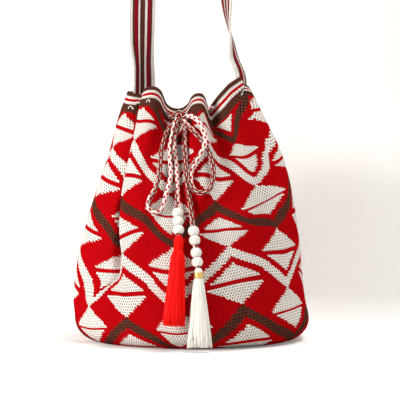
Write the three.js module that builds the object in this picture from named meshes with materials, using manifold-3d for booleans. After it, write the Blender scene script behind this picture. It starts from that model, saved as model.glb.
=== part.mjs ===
// Crocheted drawstring bucket bag with a woven shoulder strap.
// Millimetres, +Z up, the front of the bag faces -Y. The bag stands on its round base at z = 0.

import * as THREE from 'three';
import { ParametricGeometry } from 'three/addons/geometries/ParametricGeometry.js';
import { mergeVertices } from 'three/addons/utils/BufferGeometryUtils.js';
import Module from 'manifold-3d';

// Crocheted body
const BASE_RADIUS = 140;
const CORNER_RADIUS = 26;
const MOUTH_TUBE_RADIUS = 133;
const RIM_HEIGHT = 297;
const WALL = 3;
const GATHER_POWER = 2.32;

// Columns of the wall: closer together over the sharp folds at the front
const FRONT_FROM = -54;
const FRONT_TO = 60;
const FRONT_COLUMNS = 40;
const BACK_COLUMNS = 52;

// Heights of the hoops that the wall is drawn with, as shares of the wall above the base corner
const HOOP_SHARES = [0.11, 0.24, 0.37, 0.49, 0.6, 0.69, 0.77, 0.84, 0.9, 0.95, 1];
const BASE_RING_SHARES = [0.5, 1];
const CORNER_TURNS = [30, 60, 90];

// The stuffed bag leans a little from side to side: [share of the height, shift towards +X]
const SWAY = [[0, 1.5], [0.09, 1], [0.16, -2], [0.22, -2.5], [0.3, -2], [0.43, 0.5], [0.56, 3.7],
  [0.69, 6.3], [0.77, 6], [0.9, 2], [1, 0]];

// Folds of the gathered rim, going round from the front towards +X:
// [place on the crochet in degrees, swing round from that place in degrees,
//  distance out from the drawstring's ring, rise above the rim height]
const DRAWN_RADIUS = 60;
const RIM_FOLDS = [
  [-38, -1.1, 23.7, -3.8], [-35, 0.4, 24.5, -2.1], [-32, 1.2, 22.6, -1.9], [-29.5, 1.7, 19.7, -3.6],
  [-27, 0.6, 13.7, -8.1], [-25, -2.7, 5.5, -13.8], [-22.5, -7, -2.6, -19],
  [-19.5, -8.4, -8.5, -22.9], [-15.5, -5.4, -13.4, -25.3], [-12, 0.1, -14, -24.2],
  [-9, 4.7, -9.4, -20.4], [-7, 5.8, -3, -16.6], [-5, 6, 4, -13], [-2.5, 6.8, 10.2, -10.4],
  [0.5, 7.3, 13.2, -9.8], [3.5, 7.7, 12.4, -11], [6, 8.4, 7.6, -14.3], [8.5, 9.1, 0.9, -18.4],
  [11, 10.7, -6.2, -22.3], [14, 11.3, -9.1, -23.8], [17, 9.4, -5.9, -20.5], [20, 6.5, 2, -16],
  [24, 3.6, 9.4, -10.7], [28, 2.3, 12.2, -6], [36, 2, 13, 3], [47, 7, 12, 12], [57, 8, 1, 8],
  [68, 9, 9, 4], [90, 7, 10, 1.5], [101, 7, 8, 0], [112, 5, -10, -2], [127, 3, 15, -2],
  [137, 5, 11, -8], [149, 3, -10, -17], [163, 2, 15, -15], [172, 2, 11, -18], [184, -1, -11, -22],
  [198, -2, 15, -19], [207, -1, 11, -20], [219, -3, -10, -19], [232, -3, 15, -7], [241, -3, 9, -4],
  [251, -4, -10, -3], [267, -1, 13, -1], [282, 1, 16, -3], [300, 0, 16, -7], [309, -2, -7, -12],
  [316, -4.1, 14.9, -10.8], [319, -2.8, 20.4, -6.8],
];
const RIM_TURN = 360;

// Long soft creases below the rim:
// [place at the rim, place at the lower end, share of height where it fades out, depth, half width]
const CREASES = [
  [-49, -40, 0.3, 10, 7],
  [-16, -4, 0.34, 9, 10],
  [16, 22, 0.5, 7, 7],
  [64, 60, 0.5, 5, 9],
];

// Braided drawstring
const CORD_DIAMETER = 5.5;
const CORD_SIDES = 8;
const EYELET_CLEARANCE = 0.5;
const TOUCH_GAP = 0.3;
const DRAWSTRING_STEPS = 30;
const LEFT_LOOP_STEPS = 24;
const RIGHT_LOOP_STEPS = 22;
const END_STEPS = 13;

// Ring of cord that the rim folds weave in and out of, from the left of the knot round the back:
// [bearing from the front in degrees, drop below the rim height]
const DRAWSTRING_RING = [
  [-28, 34], [-44, 31], [-64, 27], [-88, 23], [-112, 23], [-136, 27], [-160, 32], [-184, 33],
  [-208, 32], [-232, 25], [-256, 19], [-280, 17], [-302, 17], [-323, 22], [-343, 29], [-354, 33],
];

// Knot of the bow, with the ways that the cords leave it
const KNOT_CENTRE = [-11.5, -75, RIM_HEIGHT - 36.5];
const KNOT_RADIUS = 8.5;
const KNOT_SIDES = 14;
const KNOT_RINGS = 10;
const KNOT_LEFT = [-0.8, 0.6, 0.05];
const KNOT_RIGHT = [0.8, 0.6, 0.05];
const LEFT_LOOP_OUT = [-0.7, -0.12, -0.7];
const LEFT_LOOP_BACK = [-0.3, -0.85, -0.43];
const RIGHT_LOOP_OUT = [0.8, -0.6, -0.02];
const RIGHT_LOOP_BACK = [0.36, -0.72, -0.59];
const RED_END_OUT = [-0.2, 0.3, -0.93];
const WHITE_END_OUT = [0.36, -0.05, -0.93];

// Cords of the bow, lying against the front of the bag
const LEFT_LOOP = [
  [-27, -79.3, 242], [-31.8, -87, 225], [-33.6, -93.5, 209], [-35.4, -99.5, 192], [-39.3, -105.5, 177],
  [-44.5, -110, 167.5], [-46.5, -111.5, 160], [-44.2, -113.2, 154.3], [-38.5, -114, 152],
  [-32.8, -113.2, 154.3], [-30.2, -111, 160.5], [-27.6, -106.8, 170], [-24.2, -101.5, 181],
  [-21.9, -96.5, 192], [-22.6, -91.8, 209], [-22.9, -90.2, 224], [-20.9, -91.8, 235],
  [-18.8, -92.7, 244],
];
const RIGHT_LOOP = [
  [8.5, -96, 254], [12.8, -100, 246.5], [16.3, -103, 235], [15.6, -108, 225.5], [8.6, -110.5, 211.5],
  [1.8, -111.5, 199.6], [0.3, -114.5, 187.5], [3.2, -119, 177.5], [7.8, -121.3, 173.7],
  [13, -122, 172.8], [18.2, -121.3, 174.2], [22.4, -118.8, 178.6], [24.9, -114.5, 187.5],
  [25.5, -110, 201], [23, -107, 213], [17, -102.5, 226], [10, -102.5, 234.5], [0, -95.5, 246],
];
const RED_END = [
  [-17.6, -74.2, 238], [-18, -80, 225], [-16.3, -88, 209], [-15, -96.5, 192], [-14.6, -104.5, 179],
];
const WHITE_END = [
  [-6.8, -81.5, 238.8], [-6.2, -88.5, 225], [-5.2, -99, 203], [-3.8, -108.5, 187],
  [-1, -118, 169],
];

// Straight lower ends of the cords, with the distance down to the middle of the first bead
// and the open cord above each bead
const BEAD_DIAMETER = 12.5;
const BEAD_LENGTH = 10;
const BEAD_CLEARANCE = 0.4;
const BEAD_SIDES = 12;
const BEAD_ARC_STEPS = 5;
const RED_HANG = {
  from: [-14.3, -114.5, 165], towards: [-12, -138, 117], firstBead: 16, beadGaps: [0, 0.3, 0.3],
};
const WHITE_HANG = {
  from: [2.4, -130, 142], towards: [9, -143.2, 88], firstBead: 11.4, beadGaps: [0, 0.3, 4, 0.3],
};

// Tassels: sizes across and along, with the tilt forwards and the lean towards +X of each at rest
const TASSEL_NECK_RADIUS = 4.6;
const TASSEL_SWING_RADIUS = 5.8;
const TASSEL_SHOULDER_DROP = 7;
const TASSEL_SIDES = 16;
const TASSEL_DOME_TURNS = [55, 25];
const BINDING_TOP_DROP = 0.5;
const RED_TASSEL = {
  bindingLength: 12, bindingRadius: 5.5, shoulderRadius: 8, hemHalfWidth: 12.4, hemHalfDepth: 7.5,
  length: 95, forward: 10, lean: 3.2,
};
const WHITE_TASSEL = {
  bindingLength: 7, bindingRadius: 5.5, shoulderRadius: 6.5, hemHalfWidth: 13.8, hemHalfDepth: 7.5,
  length: 82, forward: 6, lean: -0.8,
};

// Woven strap
const STRAP_WIDTH = 31;
const STRAP_THICKNESS = 3;
const STRAP_OVERLAP = 12;
const STRAP_SEAT_GAP = 1.3;
const STRAP_EASE = 60;
const STRAP_STEPS = 48;
const RIM_WALK_STEP = 0.25;
const STRAP_ACROSS = 6;
const LEFT_STRAP_PLACE = 260.5;
const RIGHT_STRAP_PLACE = 70;

// Middle line of the strap from the left of the mouth over the top to the right of the mouth:
// [x, y, z, turn of its width about +Z from +X in degrees]
const STRAP_ROUTE = [
  [-59.5, 4, 338, 28], [-58, 3, 405, 0], [-54, 2, 490, -22], [-46, 1, 580, -52], [-37, 0, 660, -78],
  [-30, 0, 706, -90], [-22, 0, 729, -90], [-6, 0, 740, -90], [10, 0, 729, -90], [18, 0, 706, -90],
  [24, 0, 660, -86], [31, 0, 570, -74], [38, 0, 480, -64], [42.5, 0, 405, -68], [46.5, 0, 370, -90],
  [53, -2, 340, -106],
];

const COLOURS = { red: 0xd01018, cream: 0xece6da, brown: 0x5a3c30, pearl: 0xf4f0e8, gold: 0xc9a24a };

// Shared helpers

function radians(degrees) {
  return THREE.MathUtils.degToRad(degrees);
}

// Smooth value at a key through rows of [key, value, value, ...]; a period closes the curve on itself
function smoothAt(rows, key, period) {
  const count = rows.length;
  const row = (index) => {
    const turns = period ? Math.floor(index / count) : 0;
    const wrapped = period ? index - turns * count : THREE.MathUtils.clamp(index, 0, count - 1);
    return { key: rows[wrapped][0] + turns * (period ?? 0), values: rows[wrapped].slice(1) };
  };
  let at = key;
  if (period) {
    at = rows[0][0] + THREE.MathUtils.euclideanModulo(key - rows[0][0], period);
  }
  let index = 0;
  while (index < count - (period ? 1 : 2) && row(index + 1).key <= at) {
    index += 1;
  }
  const [a, b, c, d] = [row(index - 1), row(index), row(index + 1), row(index + 2)];
  const span = c.key - b.key;
  const t = THREE.MathUtils.clamp((at - b.key) / span, 0, 1);
  const slope = (from, to, n) => (to.values[n] - from.values[n]) / Math.max(to.key - from.key, 1e-9);
  return b.values.map((value, n) => {
    const start = slope(a, c, n) * span;
    const end = slope(b, d, n) * span;
    const [t2, t3] = [t * t, t * t * t];
    return (2 * t3 - 3 * t2 + 1) * value + (t3 - 2 * t2 + t) * start
      + (3 * t2 - 2 * t3) * c.values[n] + (t3 - t2) * end;
  });
}

// One closed solid from a surface that wraps round in u; points that meet at a pole become one
function closedSurface(surface, slices, stacks) {
  const sheet = new ParametricGeometry(surface, slices, stacks);
  sheet.deleteAttribute('normal');
  sheet.deleteAttribute('uv');
  const merged = mergeVertices(sheet, 1e-3);
  const kept = [];
  const index = merged.index.array;
  for (let i = 0; i < index.length; i += 3) {
    const [a, b, c] = [index[i], index[i + 1], index[i + 2]];
    if (a !== b && b !== c && c !== a) {
      kept.push(a, b, c);
    }
  }
  merged.setIndex(kept);
  return merged;
}

function welded(geometry) {
  const copy = geometry.clone();
  copy.deleteAttribute('normal');
  copy.deleteAttribute('uv');
  return mergeVertices(copy, 1e-4);
}

function namedMesh(name, geometry, color, roughness, metalness = 0) {
  const mesh = new THREE.Mesh(geometry, new THREE.MeshStandardMaterial({ color, roughness, metalness }));
  mesh.name = name;
  return mesh;
}

// Crocheted body

// Rim of the gathered mouth at a place on the crochet
function rimAt(place) {
  const [swing, out, rise] = smoothAt(RIM_FOLDS, place, RIM_TURN);
  const bearing = place + swing;
  const radius = DRAWN_RADIUS + out;
  return new THREE.Vector3(
    radius * Math.sin(radians(bearing)),
    -radius * Math.cos(radians(bearing)),
    RIM_HEIGHT + rise,
  );
}

function creaseDepth(place, share) {
  let depth = 0;
  for (const [top, low, fade, deepest, halfWidth] of CREASES) {
    const along = (share - fade) / (1 - fade);
    if (along > 0 && along < 1) {
      const middle = THREE.MathUtils.lerp(low, top, along);
      const apart = THREE.MathUtils.euclideanModulo(place - middle + RIM_TURN / 2, RIM_TURN) - RIM_TURN / 2;
      const off = apart / halfWidth;
      depth += deepest * Math.exp(-off * off) * Math.sin(Math.PI * along);
    }
  }
  return depth;
}

// Outer face of the crochet: the round tube is drawn in towards the folded rim as it rises
function outerSkin(place, radius, height) {
  const share = height / RIM_HEIGHT;
  const pull = Math.pow(share, GATHER_POWER);
  const rim = rimAt(place);
  const round = radius - creaseDepth(place, share);
  const [sway] = smoothAt(SWAY, share);
  return new THREE.Vector3(
    (1 - pull) * round * Math.sin(radians(place)) + pull * rim.x + sway * Math.min(1, radius / BASE_RADIUS),
    -(1 - pull) * round * Math.cos(radians(place)) + pull * rim.y,
    height + (rim.z - RIM_HEIGHT) * pull,
  );
}

// Radius and height of the plain tube at every ring from the middle of the base to the rim
function bodyRings() {
  const flat = BASE_RADIUS - CORNER_RADIUS;
  const rings = [[0, 0], ...BASE_RING_SHARES.map((share) => [flat * share, 0])];
  for (const turn of CORNER_TURNS) {
    rings.push([
      flat + CORNER_RADIUS * Math.sin(radians(turn)),
      CORNER_RADIUS * (1 - Math.cos(radians(turn))),
    ]);
  }
  for (const share of HOOP_SHARES) {
    const height = THREE.MathUtils.lerp(CORNER_RADIUS, RIM_HEIGHT, share);
    rings.push([THREE.MathUtils.lerp(BASE_RADIUS, MOUTH_TUBE_RADIUS, share), height]);
  }
  return rings;
}

// Inner face, one wall thickness in from the outer face along its normal
function innerSkin(place, ring, rings) {
  const [radius, height] = rings[ring];
  const point = outerSkin(place, radius, height);
  if (ring === 0 || (height === 0 && ring < BASE_RING_SHARES.length)) {
    return point.setZ(WALL);
  }
  const above = rings[Math.min(ring + 1, rings.length - 1)];
  const below = rings[ring - 1];
  const round = outerSkin(place + RIM_WALK_STEP, radius, height)
    .sub(outerSkin(place - RIM_WALK_STEP, radius, height));
  const up = outerSkin(place, ...above).sub(outerSkin(place, ...below));
  const inward = up.cross(round).normalize();
  return point.addScaledVector(inward, WALL);
}

// Place on the crochet of a column; columns run round the bag once
function columnPlace(column) {
  if (column <= FRONT_COLUMNS) {
    return THREE.MathUtils.lerp(FRONT_FROM, FRONT_TO, column / FRONT_COLUMNS);
  }
  return THREE.MathUtils.lerp(FRONT_TO, FRONT_FROM + RIM_TURN, (column - FRONT_COLUMNS) / BACK_COLUMNS);
}

function bodyGeometry() {
  const rings = bodyRings();
  const last = rings.length - 1;
  const stacks = 2 * rings.length - 1;
  const columns = FRONT_COLUMNS + BACK_COLUMNS;
  const surface = (u, v, target) => {
    const place = columnPlace(Math.round(u * columns) % columns);
    const row = Math.round(v * stacks);
    if (row <= last) {
      target.copy(outerSkin(place, ...rings[row]));
    } else {
      target.copy(innerSkin(place, stacks - row, rings));
    }
  };
  return closedSurface(surface, columns, stacks);
}

// Braided cord

function point([x, y, z]) {
  return new THREE.Vector3(x, y, z);
}

// Tube of round cord through a route of points
function cordTube(route, steps, diameter) {
  const section = new THREE.Shape();
  for (let side = 0; side < CORD_SIDES; side += 1) {
    const turn = (side / CORD_SIDES) * 2 * Math.PI;
    const [x, y] = [0.5 * diameter * Math.cos(turn), 0.5 * diameter * Math.sin(turn)];
    if (side === 0) {
      section.moveTo(x, y);
    } else {
      section.lineTo(x, y);
    }
  }
  section.closePath();
  const extrudePath = new THREE.CatmullRomCurve3(route);
  return welded(new THREE.ExtrudeGeometry(section, { steps, extrudePath, bevelEnabled: false }));
}

// First stretch of a cord that leaves the knot square to it, one touching gap clear
function knotExit(direction) {
  const way = point(direction).normalize();
  return [KNOT_RADIUS + TOUCH_GAP, KNOT_RADIUS + CORD_DIAMETER].map(
    (distance) => point(KNOT_CENTRE).addScaledVector(way, distance),
  );
}

// Route from the knot through chosen points, and back into the knot or on to its last points
function bowRoute(out, points, back) {
  const last = Array.isArray(back) ? knotExit(back).reverse() : back.route();
  return [...knotExit(out), ...points.map(point), ...last];
}

// Route of the cord round the mouth, from one side of the knot to the other
function drawstringRoute() {
  const ring = DRAWSTRING_RING.map(([bearing, drop]) => new THREE.Vector3(
    DRAWN_RADIUS * Math.sin(radians(bearing)),
    -DRAWN_RADIUS * Math.cos(radians(bearing)),
    RIM_HEIGHT - drop,
  ));
  return [...knotExit(KNOT_LEFT), ...ring, ...knotExit(KNOT_RIGHT).reverse()];
}

// Straight lower end of a cord: points at distances along it, past beads and down to the tassel
class Hang {
  constructor({ from, towards, firstBead, beadGaps }) {
    this.start = point(from);
    this.direction = point(towards).sub(this.start).normalize();
    this.beadMiddles = [];
    let middle = firstBead;
    for (const gap of beadGaps) {
      middle += gap;
      this.beadMiddles.push(middle);
      middle += BEAD_LENGTH;
    }
    this.lastBeadEnd = this.beadMiddles.at(-1) + 0.5 * BEAD_LENGTH;
    this.pivot = this.lastBeadEnd + TOUCH_GAP + TASSEL_SWING_RADIUS;
    this.cordEnd = this.pivot - TASSEL_NECK_RADIUS - TOUCH_GAP;
  }

  at(distance) {
    return this.start.clone().addScaledVector(this.direction, distance);
  }

  route() {
    return [0, 0.5 * BEAD_LENGTH, 0.5 * this.cordEnd, this.cordEnd].map((distance) => this.at(distance));
  }
}

// Round bead with a bore for the cord, flattened a little along it
function beadGeometry() {
  const bore = 0.5 * CORD_DIAMETER + BEAD_CLEARANCE;
  const edge = Math.acos(bore / (0.5 * BEAD_DIAMETER));
  const halfHeight = 0.5 * BEAD_LENGTH / Math.sin(edge);
  const profile = [];
  for (let step = 0; step <= BEAD_ARC_STEPS; step += 1) {
    const turn = THREE.MathUtils.lerp(-edge, edge, step / BEAD_ARC_STEPS);
    profile.push(new THREE.Vector2(0.5 * BEAD_DIAMETER * Math.cos(turn), halfHeight * Math.sin(turn)));
  }
  profile.push(profile[0].clone());
  return welded(new THREE.LatheGeometry(profile, BEAD_SIDES));
}

function addBeads(group, names, hang) {
  names.forEach((name, index) => {
    const bead = namedMesh(name, beadGeometry(), COLOURS.pearl, 0.5);
    bead.position.copy(hang.at(hang.beadMiddles[index]));
    bead.quaternion.setFromUnitVectors(new THREE.Vector3(0, 1, 0), hang.direction);
    group.add(bead);
  });
}

// Tassels

// Threads of a tassel: a round neck that the cord ends on, spreading to a flat wide skirt
function skirtGeometry({ bindingLength, shoulderRadius, hemHalfWidth, hemHalfDepth, length }) {
  const profile = [new THREE.Vector2(0, TASSEL_NECK_RADIUS)];
  for (const turn of TASSEL_DOME_TURNS) {
    profile.push(new THREE.Vector2(
      TASSEL_NECK_RADIUS * Math.cos(radians(turn)),
      TASSEL_NECK_RADIUS * Math.sin(radians(turn)),
    ));
  }
  const shoulder = bindingLength + TASSEL_SHOULDER_DROP;
  profile.push(
    new THREE.Vector2(TASSEL_NECK_RADIUS, 0),
    new THREE.Vector2(TASSEL_NECK_RADIUS, -bindingLength - TOUCH_GAP),
    new THREE.Vector2(shoulderRadius, -shoulder),
    new THREE.Vector2(0.5 * (shoulderRadius + hemHalfWidth), -0.5 * (shoulder + length)),
    new THREE.Vector2(hemHalfWidth, -length),
    new THREE.Vector2(0, -length),
  );
  const geometry = welded(new THREE.LatheGeometry(profile.reverse(), TASSEL_SIDES));
  const place = geometry.attributes.position;
  for (let i = 0; i < place.count; i += 1) {
    const drop = THREE.MathUtils.clamp((-place.getY(i) - shoulder) / (length - shoulder), 0, 1);
    place.setZ(i, place.getZ(i) * THREE.MathUtils.lerp(1, hemHalfDepth / hemHalfWidth, drop));
  }
  return geometry.rotateX(0.5 * Math.PI);
}

// Binding round the neck of a tassel
function bindingGeometry({ bindingLength, bindingRadius }) {
  const bore = TASSEL_NECK_RADIUS + TOUCH_GAP;
  const profile = [
    new THREE.Vector2(bore, -bindingLength),
    new THREE.Vector2(bindingRadius, -bindingLength),
    new THREE.Vector2(bindingRadius, -BINDING_TOP_DROP),
    new THREE.Vector2(bore, -BINDING_TOP_DROP),
    new THREE.Vector2(bore, -bindingLength),
  ];
  return welded(new THREE.LatheGeometry(profile, TASSEL_SIDES)).rotateX(0.5 * Math.PI);
}

function tassel(name, sizes, hang, skirt, binding) {
  const group = new THREE.Group();
  group.name = name;
  group.add(skirt, binding);
  group.position.copy(hang.at(hang.pivot));
  group.rotation.set(radians(-sizes.forward), radians(sizes.lean), 0);
  return group;
}

// Woven strap

// Place on the crochet at a distance along the rim from another place
function placeAlongRim(from, distance) {
  const step = Math.sign(distance) * RIM_WALK_STEP;
  let place = from;
  let left = Math.abs(distance);
  while (left > 0) {
    const move = rimAt(place + step).setZ(0).distanceTo(rimAt(place).setZ(0));
    place += step * Math.min(1, left / move);
    left -= move;
  }
  return place;
}

// Point off the inside of the rim by a depth, at a place on the crochet
function insideRim(place, depth) {
  const along = rimAt(place + RIM_WALK_STEP).sub(rimAt(place - RIM_WALK_STEP)).setZ(0).normalize();
  const inward = new THREE.Vector3(-along.y, along.x, 0);
  return { at: rimAt(place).addScaledVector(inward, WALL + depth), along, inward };
}

// End of the strap, curved to the inside of the rim that it is sewn to
function strapSeat(place) {
  const middle = insideRim(place, STRAP_SEAT_GAP + 0.5 * STRAP_THICKNESS);
  const width = middle.along.clone().negate();
  return {
    middle: middle.at,
    inward: middle.inward,
    width,
    turn: THREE.MathUtils.radToDeg(Math.atan2(width.y, width.x)),
    bend: (across, depth) => {
      const beside = placeAlongRim(place, -0.5 * across * STRAP_WIDTH);
      const curved = insideRim(beside, STRAP_SEAT_GAP + depth).at;
      const flat = middle.at.clone().addScaledVector(width, 0.5 * across * STRAP_WIDTH)
        .addScaledVector(middle.inward, depth - 0.5 * STRAP_THICKNESS);
      return curved.sub(flat).setZ(0);
    },
  };
}

function strapGeometry() {
  const left = strapSeat(LEFT_STRAP_PLACE);
  const right = strapSeat(RIGHT_STRAP_PLACE);
  const lift = (seat, rise) => seat.middle.clone().setZ(seat.middle.z + rise);
  const route = [
    lift(left, -STRAP_OVERLAP), lift(left, STRAP_OVERLAP),
    ...STRAP_ROUTE.map(point),
    lift(right, STRAP_OVERLAP), lift(right, -STRAP_OVERLAP),
  ];
  const turns = [left.turn, left.turn, ...STRAP_ROUTE.map((row) => row[3]), right.turn, right.turn];
  const curve = new THREE.CatmullRomCurve3(route);
  const turnRows = turns.map((turn, index) => [index / (turns.length - 1), turn]);
  const loop = 2 * (STRAP_ACROSS + 1);
  const surface = (u, v, target) => {
    const corner = Math.round(u * loop) % loop;
    const far = corner > STRAP_ACROSS;
    const across = far ? 1 - 2 * (corner - STRAP_ACROSS - 1) / STRAP_ACROSS : 2 * corner / STRAP_ACROSS - 1;
    const along = THREE.MathUtils.clamp((Math.round(v * (STRAP_STEPS + 2)) - 1) / STRAP_STEPS, 0, 1);
    const middle = curve.getPoint(along);
    const forward = curve.getTangent(along);
    const [turn] = smoothAt(turnRows, along);
    const width = new THREE.Vector3(Math.cos(radians(turn)), Math.sin(radians(turn)), 0);
    width.addScaledVector(forward, -width.dot(forward)).normalize();
    const face = width.clone().cross(forward);
    const end = v === 0 || v === 1 ? 0 : 1;
    const side = far ? -0.5 : 0.5;
    target.copy(middle).addScaledVector(width, 0.5 * across * STRAP_WIDTH * end)
      .addScaledVector(face, side * STRAP_THICKNESS * end);
    for (const seat of [left, right]) {
      const distance = middle.distanceTo(seat.middle);
      const hold = end * (1 - THREE.MathUtils.smoothstep(distance, 2 * STRAP_OVERLAP, STRAP_EASE));
      if (hold > 0) {
        const inner = Math.sign(face.dot(seat.inward)) * side > 0;
        const same = Math.sign(width.dot(seat.width)) * across;
        target.addScaledVector(seat.bend(same, inner ? STRAP_THICKNESS : 0), hold);
      }
    }
  };
  return closedSurface(surface, loop, STRAP_STEPS + 2);
}

// Cuts with solids

const wasm = await Module();
wasm.setup();

function solid(geometry) {
  const closed = welded(geometry);
  return new wasm.Manifold(new wasm.Mesh({
    numProp: 3,
    vertProperties: new Float32Array(closed.attributes.position.array),
    triVerts: new Uint32Array(closed.index.array),
  }));
}

function geometryOf(manifold) {
  const mesh = manifold.getMesh();
  const geometry = new THREE.BufferGeometry();
  geometry.setAttribute('position', new THREE.BufferAttribute(new Float32Array(mesh.vertProperties), 3));
  geometry.setIndex(new THREE.BufferAttribute(new Uint32Array(mesh.triVerts), 1));
  return geometry;
}

// Bag

const bag = new THREE.Group();
bag.name = 'drawstring_bucket_bag';

const mouthRoute = drawstringRoute();
const eyelets = cordTube(mouthRoute, DRAWSTRING_STEPS, CORD_DIAMETER + 2 * EYELET_CLEARANCE);
const body = geometryOf(solid(bodyGeometry()).subtract(solid(eyelets)));
bag.add(namedMesh('bag_body', body, COLOURS.red, 0.9));
bag.add(namedMesh('shoulder_strap', strapGeometry(), COLOURS.brown, 0.85));

const redHang = new Hang(RED_HANG);
const whiteHang = new Hang(WHITE_HANG);
const cordRoutes = [
  ['drawstring', mouthRoute, DRAWSTRING_STEPS],
  ['left_bow_loop', bowRoute(LEFT_LOOP_OUT, LEFT_LOOP, LEFT_LOOP_BACK), LEFT_LOOP_STEPS],
  ['right_bow_loop', bowRoute(RIGHT_LOOP_OUT, RIGHT_LOOP, RIGHT_LOOP_BACK), RIGHT_LOOP_STEPS],
  ['red_cord_end', bowRoute(RED_END_OUT, RED_END, redHang), END_STEPS],
  ['white_cord_end', bowRoute(WHITE_END_OUT, WHITE_END, whiteHang), END_STEPS],
];
for (const [name, route, steps] of cordRoutes) {
  bag.add(namedMesh(name, cordTube(route, steps, CORD_DIAMETER), COLOURS.cream, 0.85));
}

const knotBall = new THREE.SphereGeometry(KNOT_RADIUS, KNOT_SIDES, KNOT_RINGS);
const knot = namedMesh('bow_knot', welded(knotBall), COLOURS.cream, 0.85);
knot.position.copy(point(KNOT_CENTRE));
bag.add(knot);

addBeads(bag, ['red_bead_top', 'red_bead_middle', 'red_bead_bottom'], redHang);
addBeads(bag, ['white_bead_1', 'white_bead_2', 'white_bead_3', 'white_bead_4'], whiteHang);

bag.add(tassel('red_tassel', RED_TASSEL, redHang,
  namedMesh('red_tassel_skirt', skirtGeometry(RED_TASSEL), COLOURS.red, 0.7),
  namedMesh('red_tassel_binding', bindingGeometry(RED_TASSEL), COLOURS.red, 0.4)));
bag.add(tassel('white_tassel', WHITE_TASSEL, whiteHang,
  namedMesh('white_tassel_skirt', skirtGeometry(WHITE_TASSEL), COLOURS.cream, 0.7),
  namedMesh('white_tassel_band', bindingGeometry(WHITE_TASSEL), COLOURS.gold, 0.3, 1)));

export default bag;
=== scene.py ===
"""Crocheted drawstring bucket bag with a woven strap, a tied bow, beads and two tassels."""

import logging
import math
import random
from dataclasses import dataclass, field
from enum import Enum
from typing import Callable, Sequence

import bmesh
import bpy
import numpy as np
from mathutils import Matrix, Vector


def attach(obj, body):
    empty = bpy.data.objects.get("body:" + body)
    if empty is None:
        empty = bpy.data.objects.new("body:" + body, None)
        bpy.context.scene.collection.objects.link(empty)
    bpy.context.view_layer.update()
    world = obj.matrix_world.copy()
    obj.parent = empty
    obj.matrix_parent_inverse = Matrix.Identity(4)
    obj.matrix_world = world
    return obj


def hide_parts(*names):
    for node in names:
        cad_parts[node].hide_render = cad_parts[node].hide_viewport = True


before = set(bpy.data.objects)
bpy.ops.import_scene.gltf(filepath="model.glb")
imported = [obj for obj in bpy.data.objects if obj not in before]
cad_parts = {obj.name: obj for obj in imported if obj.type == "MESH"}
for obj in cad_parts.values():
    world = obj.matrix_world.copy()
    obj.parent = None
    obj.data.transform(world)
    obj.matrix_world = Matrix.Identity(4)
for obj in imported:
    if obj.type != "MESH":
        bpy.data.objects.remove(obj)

LOG = logging.getLogger("bag")
MM = 0.001
WELD = 1e-6
SIDE_HINT = (0.31, 0.95, 0.05)
Point = tuple[float, float, float]
Colour = tuple[float, float, float, float]
Form = Callable[[np.ndarray, np.ndarray], np.ndarray]


class Body(Enum):
    """Moving bodies of the bag."""

    BAG = "bag"
    RED_TASSEL = "red_tassel"
    WHITE_TASSEL = "white_tassel"


class Lay(Enum):
    """How a stretch of cord lies."""

    TAUT = "taut"
    HANGING = "hanging"


class FarEnd(Enum):
    """What the far end of a stretch of cord goes into."""

    KNOT = "knot"
    FITTING = "fitting"


def length_of(points: np.ndarray) -> float:
    """Length of a line through points."""
    return float(np.linalg.norm(np.diff(points, axis=0), axis=1).sum())


def run_along(points: np.ndarray) -> np.ndarray:
    """Distance of each point from the first, along the line."""
    return np.concatenate([[0.0], np.cumsum(np.linalg.norm(np.diff(points, axis=0), axis=1))])


def points_at(wanted: np.ndarray, run: np.ndarray, points: np.ndarray) -> np.ndarray:
    """Points at wanted distances along a line."""
    return np.stack([np.interp(wanted, run, points[:, axis]) for axis in range(3)], axis=1)


def unit(rows: np.ndarray) -> np.ndarray:
    """Rows of vectors, each made one long."""
    return rows / np.linalg.norm(rows, axis=1)[:, None]


def half_turn(degrees: np.ndarray) -> np.ndarray:
    """Angles brought between -180 and 180 degrees."""
    return np.mod(degrees + 180, 360) - 180


def eased(share: np.ndarray) -> np.ndarray:
    """Shares that start and end softly."""
    return share * share * (3 - 2 * share)


def smooth_rows(rows: Sequence[Sequence[float]], keys: np.ndarray, period: float = 0.0) -> np.ndarray:
    """Follow a smooth line through rows of values.

    Args:
        rows: Rows of [key, value, ...] with rising keys.
        keys: Keys to read the line at.
        period: Length after which the rows repeat, or 0 where they end.

    Returns:
        One row of values for each key.
    """
    table = np.asarray(rows, dtype=float)
    keys = np.asarray(keys, dtype=float)
    if period:
        keys = table[0, 0] + np.mod(keys - table[0, 0], period)
        shift = np.zeros(table.shape[1])
        shift[0] = period
        table = np.vstack([table[-2:] - shift, table, table[:2] + shift])
    knots, values = table[:, 0], table[:, 1:]
    last = len(knots) - 1
    here = np.clip(np.searchsorted(knots, keys, side="right") - 1, 0, last - 1)
    before, after = np.maximum(here - 1, 0), here + 1
    beyond = np.minimum(here + 2, last)
    span = (knots[after] - knots[here])[..., None]
    t = np.clip((keys - knots[here])[..., None] / span, 0.0, 1.0)
    start = (values[after] - values[before]) / (knots[after] - knots[before])[..., None] * span
    end = (values[beyond] - values[here]) / (knots[beyond] - knots[here])[..., None] * span
    return hermite(values[here], start, values[after], end, t)


def hermite(
    a: np.ndarray, slope_a: np.ndarray, b: np.ndarray, slope_b: np.ndarray, t: np.ndarray
) -> np.ndarray:
    """Blend between two values with given slopes.

    Args:
        a: Value at t = 0.
        slope_a: Slope at t = 0.
        b: Value at t = 1.
        slope_b: Slope at t = 1.
        t: Share of the way.

    Returns:
        The blended value.
    """
    t2, t3 = t * t, t * t * t
    near = (2 * t3 - 3 * t2 + 1) * a + (t3 - 2 * t2 + t) * slope_a
    return near + (3 * t2 - 2 * t3) * b + (t3 - t2) * slope_b


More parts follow.
